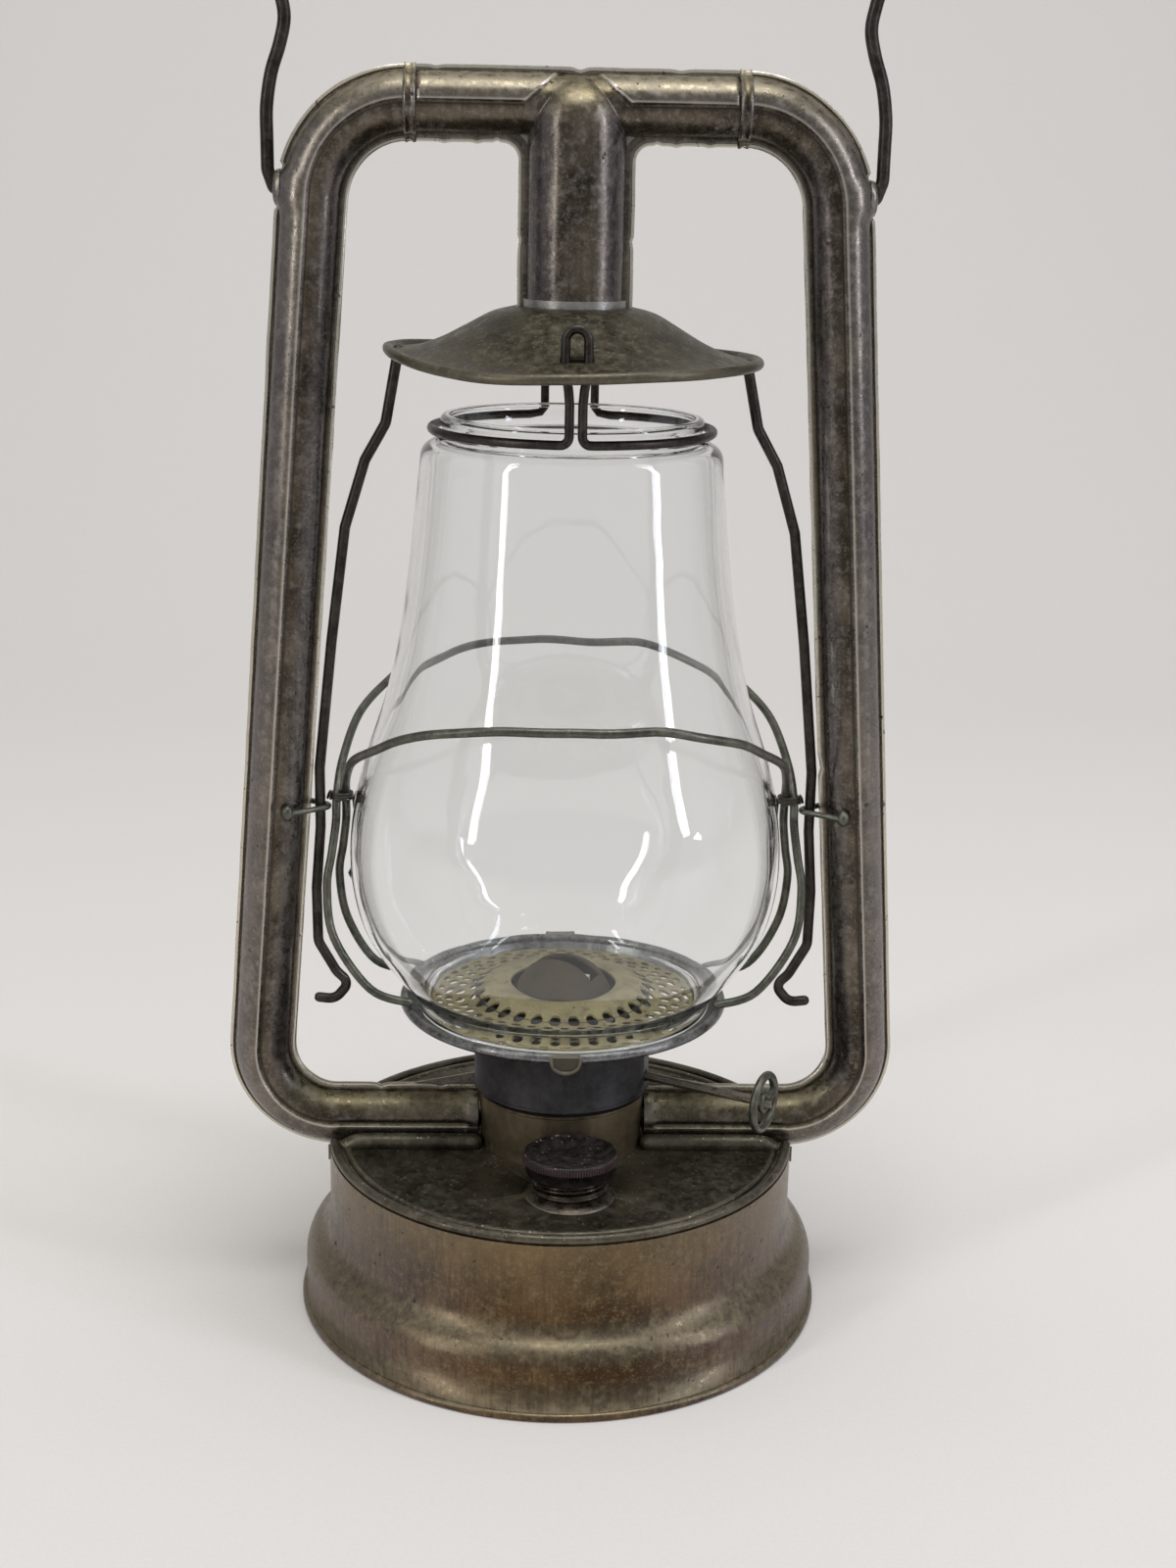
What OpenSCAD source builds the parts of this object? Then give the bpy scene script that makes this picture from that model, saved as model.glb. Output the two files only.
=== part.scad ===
// Tubular barn lantern of the hot-blast kind, with its globe, guard, burner and bail.
// Millimetres, +Z up, origin at the middle of the foot, front towards -Y.

/* [Fount] */
// Outer radius of the rolled foot that stands on the table
foot_r = 75.4; // [74:0.2:80]
// Radius of the wire rolled into the foot
foot_bead = 1.2; // [0.8:0.1:1.6]
// Height of the skirt above the foot, up to where it curves in
skirt_h = 13.5; // [10:0.5:16]
// Radius of the straight drum that holds the fuel
drum_r = 66.8; // [64:0.2:69]
// Height at which the flare meets the drum
flare_top = 27; // [22:0.5:29]
// Height of the fount's top face
fount_h = 48; // [46:0.5:50]
// Radius of the two beads round the fount's top
rim_bead = 1.3; // [0.8:0.1:1.6]
// Thickness of the drawn tinplate
sheet = 0.8; // [0.6:0.1:1]
// Depth at which the bottom pan sits inside the skirt
pan_recess = 4; // [3:0.5:6]

/* [Filler] */
// Sideways place of the filler neck
filler_x = 2; // [-4:0.5:6]
// Distance of the filler neck in front of the lantern's axis
filler_out = 38.4; // [38:0.2:44]
// Outer radius of the neck without its thread
neck_r = 10; // [9:0.1:10.4]
// Height of the neck above the fount's top face
neck_h = 9; // [8:0.5:11]
// Height of the rolled thread above the neck
thread_proud = 0.7; // [0.4:0.1:0.9]
// Pitch of the rolled thread
thread_pitch = 2.4; // [2:0.1:2.6]
// Outer radius of the cap's knurled rim
cap_r = 13.3; // [12.8:0.1:13.4]
// Height of the cap's rim
cap_h = 4.6; // [4:0.1:6]
// Depth of the dish in the cap's top
cap_dish = 1.2; // [0.6:0.1:1.6]
// Angle by which the cap and neck lean back
filler_lean = 4; // [0:1:5]

/* [Air chamber] */
// Outer radius of the lower collar, which the two arms run into
collar_r = 23.8; // [23:0.1:24.4]
// Height of the top of the lower collar above the table
collar_top = 64.6; // [64:0.2:66]
// Outer radius of the upper collar
chamber_r = 25.1; // [24.8:0.1:26]

/* [Frame] */
// Height of the frame's top seam above the canopy's rim
crown_rise = 73; // [71:0.5:78]
// Radius of the round part of the frame tube
tube_r = 7.4; // [7:0.1:7.6]
// Width of each seam flange
seam_w = 2; // [1.4:0.1:2.4]
// Thickness of each seam flange, both sheets together
seam_t = 1.2; // [1:0.1:1.6]
// Height of the stamped step along the outer side of the tube
step_h = 0.45; // [0.3:0.05:0.6]
// Height of the arms' centre line above the table
arm_z = 54.2; // [54:0.1:55]
// Distance of the side tube's centre line from the axis, at the arms' height
bottom_corner_x = 87.4; // [86:0.2:90]
// Radius of the bottom bends, at the centre line
bottom_bend_r = 21.5; // [18:0.5:22]
// Radius of the top bends, at the centre line
top_bend_r = 25.4; // [22:0.2:26]
// Outer radius of the chimney tube
chimney_r = 12.7; // [12:0.1:13]
// Width of the bands crimped over the joints in the crown
band_w = 3.2; // [2:0.1:4]

/* [Canopy] */
// Outer radius of the canopy
canopy_r = 50; // [48:0.5:52]
// Height of the canopy's rolled rim above the globe's lip
canopy_gap = 14.4; // [14:0.1:18]
// Height from the rim up to where the canopy meets the chimney
canopy_rise = 13.6; // [12:0.2:15]
// Radius of the bead rolled round the canopy
canopy_bead = 1.4; // [1:0.1:1.6]

/* [Globe] */
// Height of the globe's foot above the table
globe_z = 90.6; // [90:0.1:91]
// Thickness of the glass
glass = 2.2; // [1.6:0.1:2.6]
// Outer radius of the globe's foot
globe_foot_r = 41.6; // [41:0.1:42]
// Largest radius of the globe
globe_belly_r = 60; // [58:0.2:60]
// Radius of the globe's rounded shoulder
globe_shoulder_r = 40; // [39:0.1:40.6]
// Outer radius of the globe's lip
globe_lip_r = 35; // [34:0.1:35.4]
// Height of the globe's lip above its foot
globe_h = 165; // [155:0.5:185]

/* [Globe plate] */
// Outer radius of the plate's rolled rim
plate_r = 46.4; // [46:0.1:48]
// Radius of the plate's rolled rim bead
plate_bead = 1.4; // [1:0.1:1.6]
// Radius of the hole that the burner's dome stands in
draft_hole_r = 15; // [14.6:0.1:15.4]
// Radius of the smooth ring round the draft hole
draft_ring_r = 21.5; // [20:0.5:23]
// Height of the smooth ring above the plate's floor
draft_ring_h = 4.6; // [3:0.2:5]
// Number of small holes in each ring of perforations
hole_count = 36; // [24:2:40]
// Radius of the small holes
hole_r = 0.85; // [0.7:0.05:0.95]
// Number of large drop-shaped holes next to the smooth ring
drop_count = 24; // [16:2:28]

/* [Wires] */
// Radius of the guard's wires
hoop_wire = 1.2; // [1:0.05:1.3]
// Radius of the upright rails' wire
rail_wire = 1.3; // [1.1:0.05:1.4]
// Radius of the wire ring round the globe's neck
ring_wire = 1.2; // [1:0.05:1.3]
// Radius of the wire guide loops on the side tubes
loop_wire = 0.8; // [0.7:0.05:0.85]
// Distance from the axis at which the two hoops cross
hoop_cross_x = 62.4; // [62.3:0.1:62.6]
// Height of the hoops' tops above the globe's foot
hoop_rise = 92.6; // [88:0.2:98]
// Distance of the hoops' tops in front of and behind the axis
hoop_reach = 56; // [54:0.5:62]
// Distance of the rails from the axis, at the guide loops
rail_x = 68.3; // [68.2:0.1:68.8]
// Height of the guide loops above the globe's foot
guide_rise = 56.4; // [54:0.2:58]

/* [Bail] */
// Radius of the bail's wire
bail_wire = 1.5; // [1.2:0.1:1.6]
// Distance of the bail's pivots below the frame's top seam
pivot_drop = 31; // [29:0.5:34]
// Distance of the bail's legs from the axis
bail_half = 79.8; // [79.6:0.1:82]
// Height of the bail's top above its pivots
bail_h = 121; // [100:1:140]

/* [Burner] */
// Width of the flat wick
wick_w = 16; // [14:0.5:17]
// Thickness of the wick
wick_t = 2.2; // [1.8:0.1:2.6]
// Height of the wick's trimmed end above the table
wick_top = 98.5; // [96:0.5:99]
// Radius of the burner's dome
dome_r = 13.3; // [12.6:0.1:13.6]
// Height of the top of the dome above the table
dome_top = 103; // [101:0.5:105]
// Height of the wick adjuster's shaft above the table
shaft_z = 69.5; // [69:0.5:72]
// Radius of the adjuster's shaft
shaft_r = 1.3; // [1.1:0.05:1.4]
// Angle by which the burner is turned in its collar
burner_turn = -28.7; // [-34:0.1:-24]
// Outer radius of the thumb ring
thumb_r = 8.85; // [8:0.05:9]

/* [Hidden] */

// Colours of the real finishes
tin = "#5b564c";
dark_tin = "#43413f";
collar_blue = "#3d4149";
bright_tin = "#9a9893";
brass_dust = "#8c8463";
dome_brown = "#5d4c3d";
wire_black = "#2c2a28";
wire_grey = "#5c6059";
cap_brown = "#3b2f28";
cork = "#7a5a3a";
clear_glass = [0.85, 0.92, 0.88, 0.35];
cotton = "#d8cfb8";

// Number of sides and steps on the curved forms
fine = 96;
wire_sides = 8;
bend_steps = 5;

// Heights that follow from the globe's
canopy_rim_z = globe_z + globe_h + canopy_gap;
frame_h = canopy_rim_z + crown_rise;
pivot_z = frame_h - pivot_drop;
guide_z = globe_z + guide_rise;
hoop_top_z = globe_z + hoop_rise;

// Gap left by the solder or the crimp between two fixed pieces
joint_gap = 0.05;
// Running clearance round a pin or a shaft
running_gap = 0.08;
// Clearance between a moving wire and what it passes
slide_gap = 0.5;
// Gap under a piece that rests on another and can be lifted
rest_gap = 0.3;

top_z = frame_h - seam_w - tube_r;
// Slope of the side tubes, whose sine and cosine (237 / 3125 and 3116 / 3125) have no rounding
lean = atan2(237, 3116);
top_corner_x = bottom_corner_x - (top_z - arm_z) * tan(lean);
side_length = norm([bottom_corner_x - top_corner_x, top_z - arm_z]);
bottom_turn = 90 + lean;
top_turn = 90 - lean;
bottom_tangent = bottom_bend_r * tan(bottom_turn / 2);
top_tangent = top_bend_r * tan(top_turn / 2);
// Lengths rounded to a hundredth, so that straight tube and bends meet face to face
function tidy(x) = round(100 * x) / 100;
side_low = tidy(bottom_tangent);
side_high = tidy(side_length - top_tangent);
tee_half = tidy(top_corner_x - top_tangent - joint_gap);
tube_bore = tube_r - sheet;
step_side = 0.6;

// Centre line of a side tube at a height
function tube_x(z) = bottom_corner_x - (z - arm_z) * tan(lean);

skirt_r = foot_r - foot_bead - 0.2;
// Steepest turn of the flare's arcs, away from upright
steepest = 75;
foot_flat = 0.15;
trough_half = tube_r + step_h + 0.35;
trough_floor = arm_z - tube_r - seam_w - 0.4;
lip_r = 1.1;
rim_r = drum_r - rim_bead;
inner_rim_r = rim_r - 2 * rim_bead - 0.8;
drum_top = fount_h - sheet;
burner_hole_r = 12.6;

chimney_bottom = canopy_rim_z + canopy_rise - 0.8;
canopy_neck_r = chimney_r + 3.4;

plate_floor = globe_z - rest_gap;
plate_z = plate_floor - sheet;
plate_rim_z = plate_floor + 0.7;
hole_rows = 3;
draft_foot_r = globe_foot_r - glass - 0.5;
draft_edge = 2.4;
plate_hole_r = draft_foot_r - draft_edge + 0.4;
draft_floor = plate_floor + joint_gap;
draft_slope = draft_ring_h / (draft_foot_r - draft_edge - draft_ring_r);
chamber_top = draft_floor + draft_slope * (draft_foot_r - draft_edge - chamber_r) - rest_gap;

ring_r = globe_lip_r + ring_wire + 1.1;
ring_z = globe_z + globe_h - 3.6;
front_leg = 1.65;
// How much wider the front hairpin's loop is than its legs, on each side
hairpin_spread = 1.5;
rear_leg = 7;
rear_leg_y = sqrt(ring_r * ring_r - rear_leg * rear_leg);
hairpin_top = 10.4;

wheel_gap = 0.3;
wheel_r = 3.6;
wheel_place = 4.2;
shaft_offset = wick_t / 2 + wheel_gap + wheel_r;
gasket_t = 1.2;
cap_skin = 0.9;
cap_seat = neck_h + gasket_t + 2 * joint_gap;
thumb_wire = 1.2;
thumb_reach = 61;
tube_wall = 0.6;
wick_gap = 0.35;
dome_rise = 9;
ledge_rise = 14;
clip_w = 6;
clip_t = 0.7;
clip_reach = 2.6;

function unit(v) = v / norm(v);
function bounded(x, low, high) = max(low, min(high, x));
function on_circle(r, angle, z) = [r * cos(angle), r * sin(angle), z];

// Points along a path of straight lines, with each corner rounded to a radius
function rounded(p, r) = [
    p[0],
    for (i = [1 : len(p) - 2])
        let (
            a = p[i - 1] - p[i],
            b = p[i + 1] - p[i],
            half = acos(bounded(unit(a) * unit(b), -1, 1)) / 2,
            reach = min(r / tan(half), 0.48 * min(norm(a), norm(b))),
            turn = 180 - 2 * half,
            c = p[i] + unit(unit(a) + unit(b)) * reach / cos(half),
            from = p[i] + unit(a) * reach - c,
            to = p[i] + unit(b) * reach - c
        )
        for (k = [0 : bend_steps])
            c + (sin(turn * (1 - k / bend_steps)) * from + sin(turn * k / bend_steps) * to) / sin(turn),
    p[len(p) - 1]
];

// Points of a smooth curve that passes through every point of a list
function smooth(p, steps) = [
    for (i = [0 : len(p) - 2])
        let (
            a = p[max(i - 1, 0)],
            b = p[i],
            c = p[i + 1],
            d = p[min(i + 2, len(p) - 1)]
        )
        for (k = [0 : steps - 1])
            let (t = k / steps)
            0.5 * (2 * b + (c - a) * t + (2 * a - 5 * b + 4 * c - d) * t * t
                + (3 * b - a - 3 * c + d) * t * t * t),
    p[len(p) - 1]
];

// Directions across a path, carried along it without twisting
function tangents(p) = [
    for (i = [0 : len(p) - 1]) unit(p[min(i + 1, len(p) - 1)] - p[max(i - 1, 0)])
];
function across(t) = let (side = abs(t * [0, 1, 0]) > 0.9 ? [1, 0, 0] : [0, 1, 0]) unit(cross(t, side));
function carry(u, t) = unit(u - (u * t) * t);
function sides_of(t) = [
    for (i = 0, u = across(t[0]); i < len(t); i = i + 1, u = carry(u, t[min(i, len(t) - 1)])) u
];

// A round wire bent along a path
module wire(path, r) {
    t = tangents(path);
    u = sides_of(t);
    n = len(path);
    points = [
        for (i = [0 : n - 1]) for (k = [0 : wire_sides - 1])
            let (a = (k + 0.5) * 360 / wire_sides)
            path[i] + r * (cos(a) * u[i] + sin(a) * cross(t[i], u[i]))
    ];
    skin = [
        for (i = [0 : n - 2]) for (k = [0 : wire_sides - 1])
            let (a = i * wire_sides + k, b = i * wire_sides + (k + 1) % wire_sides)
            each [[a, a + wire_sides, b + wire_sides], [a, b + wire_sides, b]]
    ];
    start = [for (k = [0 : wire_sides - 1]) k];
    end = [for (k = [wire_sides - 1 : -1 : 0]) (n - 1) * wire_sides + k];
    polyhedron(points = points, faces = concat([start], skin, [end]), convexity = 6);
}

module mirrored_x() {
    children();
    mirror([1, 0, 0]) children();
}

module turned() {
    rotate([0, 0, burner_turn]) children();
}

// Fount

// Outline of the wall: skirt, S-curved flare and straight drum
module wall_profile(inset) {
    translate([0, foot_bead]) square([skirt_r - inset, skirt_h - foot_bead]);
    if (skirt_r >= drum_r) s_curve(skirt_r - inset, drum_r - inset);
    else translate([0, skirt_h + flare_top]) mirror([0, 1, 0]) s_curve(drum_r - inset, skirt_r - inset);
    translate([0, flare_top]) square([drum_r - inset, drum_top - flare_top]);
}

// Two equal arcs from the skirt's height to the flare's top, with a slope between them where they would turn too far
module s_curve(wide, narrow) {
    out = max(wide - narrow, 0.001);
    up = flare_top - skirt_h;
    turn = min(2 * atan(out / up), steepest);
    bend_r = (up * sin(turn) - out * cos(turn)) / (2 * (1 - cos(turn)));
    rise = bend_r * sin(turn);
    intersection() {
        translate([wide - bend_r, skirt_h]) circle(r = bend_r, $fn = fine);
        translate([max(0, wide - bend_r), skirt_h]) square([min(bend_r, wide), rise]);
    }
    if (wide > bend_r) translate([0, skirt_h]) square([wide - bend_r + 0.01, rise]);
    if (up > 2 * rise + 0.001) polygon([
        [0, skirt_h + rise], [wide - bend_r * (1 - cos(turn)), skirt_h + rise],
        [narrow + bend_r * (1 - cos(turn)), flare_top - rise], [0, flare_top - rise]
    ]);
    difference() {
        translate([0, flare_top - rise]) square([narrow + bend_r, rise]);
        translate([narrow + bend_r, flare_top]) circle(r = bend_r, $fn = fine);
    }
}

module fount_body() {
    color(tin) difference() {
        rotate_extrude($fn = fine) {
            difference() {
                wall_profile(0);
                wall_profile(sheet);
            }
            difference() {
                translate([foot_r - foot_bead, foot_bead - foot_flat]) circle(r = foot_bead, $fn = 24);
                translate([0, -foot_bead]) square([foot_r, foot_bead]);
            }
        }
        arm_notches(drum_r);
    }
}

// Space that the arms and their troughs take out of the fount's wall and top
module arm_notches(reach) {
    translate([-reach - 5, -trough_half - sheet - joint_gap, trough_floor - sheet - joint_gap])
        cube([2 * reach + 10, 2 * (trough_half + sheet + joint_gap), fount_h]);
}

module fount_top() {
    color(dark_tin) difference() {
        union() {
            difference() {
                rotate_extrude($fn = fine) {
                    translate([burner_hole_r, drum_top])
                        square([rim_r - burner_hole_r, sheet]);
                    translate([rim_r, drum_top + rim_bead])
                        circle(r = rim_bead, $fn = 24);
                    translate([inner_rim_r, drum_top + sheet])
                        circle(r = rim_bead * 0.8, $fn = 24);
                }
                difference() {
                    translate([-drum_r - 5, -trough_half, 0]) cube([2 * drum_r + 10, 2 * trough_half, 99]);
                    cylinder(r = collar_r + joint_gap, h = 99, $fn = fine);
                }
            }
            mirrored_x() arm_trough();
        }
        filler_hole();
    }
}

// Trough pressed into the fount's top, which an arm of the frame lies in
module arm_trough() {
    difference() {
        union() {
            translate([collar_r + joint_gap, 0, 0]) rotate([90, 0, 90])
                linear_extrude(drum_r - collar_r - 2 * joint_gap) difference() {
                    translate([-trough_half - sheet, trough_floor - sheet])
                        square([2 * (trough_half + sheet), fount_h - trough_floor + sheet]);
                    translate([-trough_half, trough_floor]) square([2 * trough_half, 99]);
                }
            for (side = [-1, 1]) {
                translate([collar_r + 1, side * (trough_half + lip_r), fount_h])
                    rotate([0, 90, 0]) cylinder(r = lip_r, h = inner_rim_r - collar_r - 1, $fn = 24);
                translate([inner_rim_r, side * (trough_half + lip_r), fount_h])
                    sphere(r = lip_r * 1.7, $fn = 32);
            }
            translate([collar_r - 3, -trough_half - sheet, trough_floor - sheet])
                cube([3 + sheet, 2 * (trough_half + sheet), fount_h - trough_floor + sheet]);
        }
        translate([0, -trough_half, trough_floor]) cube([drum_r + 9, 2 * trough_half, 99]);
        cylinder(r = collar_r - 2.2, h = 99, $fn = fine);
    }
}

module filler_hole() {
    translate([filler_x, -filler_out, 0])
        cylinder(r = neck_r - sheet - 0.6, h = 99, $fn = fine);
}

module fount_bottom() {
    pan_r = skirt_r - sheet - joint_gap;
    color(tin) rotate_extrude($fn = fine) {
        translate([0, pan_recess]) square([pan_r, sheet]);
        translate([pan_r - sheet, 2 * foot_bead + joint_gap])
            square([sheet, pan_recess - 2 * foot_bead]);
    }
}

// Filler

// Places its children on the filler's axis, with their origin on the fount's top
module on_filler() {
    translate([filler_x, -filler_out, fount_h]) rotate([-filler_lean, 0, 0]) children();
}

module filler_neck() {
    bore = neck_r - sheet - 0.6;
    turns = floor((neck_h - 2) / thread_pitch);
    color(cap_brown) difference() {
        union() {
            translate([filler_x, -filler_out, fount_h + joint_gap])
                cylinder(r = neck_r + 1.6, h = 1.4, $fn = fine);
            on_filler() rotate_extrude($fn = fine) {
                translate([bore, 0.9]) square([neck_r - bore, neck_h - 0.9]);
                for (k = [0 : turns - 1])
                    translate([neck_r - 0.1, 2.6 + k * thread_pitch])
                        circle(r = thread_proud, $fn = 24);
            }
        }
        on_filler() translate([0, 0, -4]) cylinder(r = bore, h = neck_h + 8, $fn = fine);
    }
}

module filler_cap() {
    grip = neck_r + thread_proud + slide_gap;
    color(cap_brown) on_filler() difference() {
        union() {
            translate([0, 0, cap_seat + cap_skin - cap_h]) cylinder(r = cap_r - 0.5, h = cap_h, $fn = fine);
            translate([0, 0, cap_seat + cap_skin - cap_h + 0.6])
                cylinder(r = cap_r, h = cap_h - 0.6 + cap_dish, $fn = fine);
        }
        translate([0, 0, cap_seat + cap_skin])
            cylinder(r = cap_r - 1, h = cap_dish + 1, $fn = fine);
        translate([0, 0, cap_seat - cap_h - 1]) cylinder(r = grip, h = cap_h + 1, $fn = fine);
        for (a = [0 : 10 : 350]) rotate([0, 0, a])
            translate([cap_r + 0.45, 0, 0]) cylinder(r = 0.7, h = 30, $fn = 24);
    }
}

module cap_gasket() {
    color(cork) on_filler() translate([0, 0, neck_h + joint_gap])
        cylinder(r = neck_r + 0.4, h = gasket_t, $fn = fine);
}

// Air chamber

module arm_mouths(gap) {
    intersection() {
        translate([-60, 0, arm_z]) rotate([0, 90, 0]) cylinder(r = tube_bore + gap, h = 120, $fn = fine);
        translate([-60, -60, fount_h + 0.6]) cube([120, 120, 60]);
    }
}

module lower_collar() {
    color("#57503f") difference() {
        translate([0, 0, fount_h + joint_gap])
            cylinder(r = collar_r, h = collar_top + 3 - fount_h, $fn = fine);
        translate([0, 0, fount_h - 1]) cylinder(r = collar_r - sheet, h = 40, $fn = fine);
        arm_mouths(0);
    }
}

module air_chamber() {
    color(collar_blue) difference() {
        rotate_extrude($fn = fine) {
            translate([collar_r + joint_gap, collar_top])
                square([chamber_r - collar_r - joint_gap, chamber_top - collar_top - 3]);
            translate([collar_r + joint_gap, chamber_top - 3.01])
                square([chamber_r - collar_r - joint_gap, 3]);
            translate([collar_r - 2, collar_top + ledge_rise])
                square([3, sheet]);
            translate([chamber_r - 0.1, collar_top + 1.2]) circle(r = 0.6, $fn = 24);
        }
        on_shaft() translate([0, 0, 15]) cylinder(r = shaft_r + slide_gap, h = 20, $fn = 48);
    }
}

// Frame

// Cross-section of the frame tube: x points away from the middle of the frame, y is depth
module tube_section(bore = true) {
    difference() {
        union() {
            circle(r = tube_r, $fn = fine);
            intersection() {
                circle(r = tube_r + step_h, $fn = fine);
                translate([step_side, -2 * tube_r]) square([2 * tube_r, 4 * tube_r]);
            }
            square([2 * (tube_r + seam_w), seam_t], center = true);
        }
        if (bore) circle(r = tube_bore, $fn = fine);
    }
}

// The half of the section in front of the seam
module half_section() {
    intersection() {
        tube_section();
        translate([-20, -20]) square([40, 20]);
    }
}

// Sweeps a cross-section along the right-hand arm, side tube and crown of the frame
module along_right_tube() {
    translate([bottom_corner_x, 0, arm_z]) rotate([0, -lean, 0]) {
        translate([0, 0, side_low]) linear_extrude(side_high - side_low) children();
        translate([-bottom_bend_r, 0, side_low]) {
            difference() {
                mirror([0, 0, 1]) bend(bottom_turn + 2, bottom_bend_r) children();
                rotate([0, lean, 0]) translate([-100, -50, -100]) cube([100, 100, 200]);
            }
            rotate([0, lean, 0]) translate([0, 0, -bottom_bend_r]) rotate([0, 90, 0]) mirror([0, 0, 1])
                linear_extrude(bottom_corner_x - bottom_tangent - collar_r + 3) children();
        }
        translate([-top_bend_r, 0, side_high]) bend(top_turn, top_bend_r) children();
    }
}

module bend(angle, r) {
    rotate([90, 0, 0]) rotate_extrude(angle = angle, $fn = fine)
        translate([r, 0]) mirror([0, 1]) children();
}

module right_half_tube() {
    difference() {
        along_right_tube() half_section();
        cylinder(r = collar_r + joint_gap, h = 100, $fn = fine);
        bail_notch();
    }
}

// Corner sheet on the back stamping that rises from the arm to the upper collar
module arm_gusset() {
    gusset_t = seam_t / 2;
    foot = arm_z + tube_r + seam_w;
    difference() {
        translate([0, gusset_t, 0]) rotate([90, 0, 0]) linear_extrude(gusset_t)
            polygon([
                [collar_r, foot - 0.5], [chamber_r + 16, foot - 0.5], [chamber_r + 16, foot],
                [collar_r, foot + 4.4]
            ]);
        cylinder(r = collar_r + joint_gap, h = 100, $fn = fine);
        translate([0, 0, collar_top - joint_gap])
            cylinder(r = chamber_r + 0.6 + joint_gap, h = 100, $fn = fine);
    }
}

module right_back_half() {
    mirror([0, 1, 0]) right_half_tube();
    arm_gusset();
}

// Cut in the outer seam that leaves room for the bail's hooked end
module bail_notch() {
    translate([tube_x(pivot_z) + tube_r + step_h + 0.1, -5, pivot_z - bail_wire - slide_gap])
        cube([10, 10, 2 * (bail_wire + slide_gap)]);
}

module left_tube_front() { color(tin) mirror([1, 0, 0]) right_half_tube(); }
module left_tube_back() { color(tin) mirror([1, 0, 0]) right_back_half(); }
module right_tube_front() { color(tin) right_half_tube(); }
module right_tube_back() { color(tin) right_back_half(); }

// Bullet shape of the chimney, with its rounded head inside the crown
module chimney_form(r) {
    head = top_z - 5.6;
    translate([0, 0, chimney_bottom]) rotate_extrude($fn = fine) {
        square([r, head - chimney_bottom]);
        intersection() {
            translate([0, head - chimney_bottom]) circle(r = r, $fn = fine);
            square([r, 99]);
        }
    }
}

module crown_flanges() {
    wide = chimney_r + seam_w + 0.4;
    corner = 4;
    under = top_z - tube_r - seam_w;
    rotate([90, 0, 0]) linear_extrude(seam_t, center = true) difference() {
        union() {
            translate([-tee_half, under]) square([2 * tee_half, 2 * (tube_r + seam_w)]);
            translate([-wide, chimney_bottom]) square([2 * wide, top_z - chimney_bottom]);
            for (s = [-1, 1]) translate([s > 0 ? wide : -wide - corner, under - corner])
                square([corner, corner]);
        }
        for (s = [-1, 1]) translate([s * (wide + corner), under - corner])
            circle(r = corner, $fn = 48);
    }
}

module crown(side) {
    color(tin) intersection() {
        difference() {
            union() {
                translate([-tee_half, 0, top_z]) rotate([0, 90, 0])
                    cylinder(r = tube_r + step_h, h = 2 * tee_half, $fn = fine);
                chimney_form(chimney_r);
                crown_flanges();
            }
            translate([-tee_half - 1, 0, top_z]) rotate([0, 90, 0])
                cylinder(r = tube_bore, h = 2 * tee_half + 2, $fn = fine);
            translate([0, 0, -1]) chimney_form(chimney_r - sheet);
        }
        translate([-100, side > 0 ? 0 : -100, 0]) cube([200, 100, 400]);
    }
}

module crown_front() { crown(-1); }
module crown_back() { crown(1); }

// Band crimped over the joint between a side tube and the crown tee
module joint_band() {
    loose = step_h + joint_gap;
    translate([tee_half - band_w / 2, 0, top_z]) rotate([90, 0, 90]) linear_extrude(band_w)
        difference() {
            union() {
                circle(r = tube_r + loose + 0.7, $fn = fine);
                square([seam_t + 1.4, 2 * (tube_r + seam_w + 0.4)], center = true);
            }
            circle(r = tube_r + loose, $fn = fine);
            square([seam_t + 0.2, 2 * (tube_r + seam_w + joint_gap)], center = true);
        }
}

module left_band() { color(tin) mirror([1, 0, 0]) joint_band(); }
module right_band() { color(tin) joint_band(); }

// Solder band that joins the chimney to the canopy
module chimney_band() {
    color(bright_tin) difference() {
        translate([0, 0, chimney_bottom + 0.85]) cylinder(r = chimney_r + 0.8, h = 3, $fn = fine);
        cylinder(r = chimney_r + joint_gap, h = 400, $fn = fine);
        cube([60, seam_t + 2 * joint_gap, 900], center = true);
    }
}

// Canopy

module canopy_shell() {
    neck = [canopy_neck_r, canopy_rim_z + canopy_rise];
    rim = [canopy_r - canopy_bead, canopy_rim_z];
    slope = (neck[1] - rim[1]) / (rim[0] - neck[0]);
    upper = [canopy_neck_r + 11, neck[1] - 11 * slope - 0.1];
    lower = [canopy_neck_r + 24, neck[1] - 24 * slope - 0.2];
    outer = smooth([neck, upper, lower, rim], 4);
    inner = [for (i = [len(outer) - 1 : -1 : 0]) outer[i] - [0, sheet]];
    polygon(concat(
        [[chimney_r + joint_gap, neck[1]]], outer, inner, [[chimney_r + joint_gap, neck[1] - sheet]]
    ));
}

module canopy() {
    color(tin) difference() {
        union() {
            rotate_extrude($fn = fine) canopy_shell();
            translate([0, 0, canopy_rim_z]) rotate_extrude($fn = fine)
                translate([canopy_r - canopy_bead, 0]) circle(r = canopy_bead, $fn = 32);
        }
        cube([2 * (chimney_r + seam_w + 0.5), seam_t + 2 * joint_gap, 900], center = true);
        leg_slots();
    }
}

// Slots that the legs of the globe ring slide in
module leg_slots() {
    deep = ring_wire + slide_gap;
    wide = front_leg + hairpin_spread + ring_wire + slide_gap;
    translate([-wide, -ring_r - deep, canopy_rim_z]) cube([2 * wide, 2 * deep, 20]);
    for (s = [-1, 1]) translate([s * rear_leg, rear_leg_y, canopy_rim_z])
        cylinder(r = deep, h = 20, $fn = 48);
}

// Rails and guide loops

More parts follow.
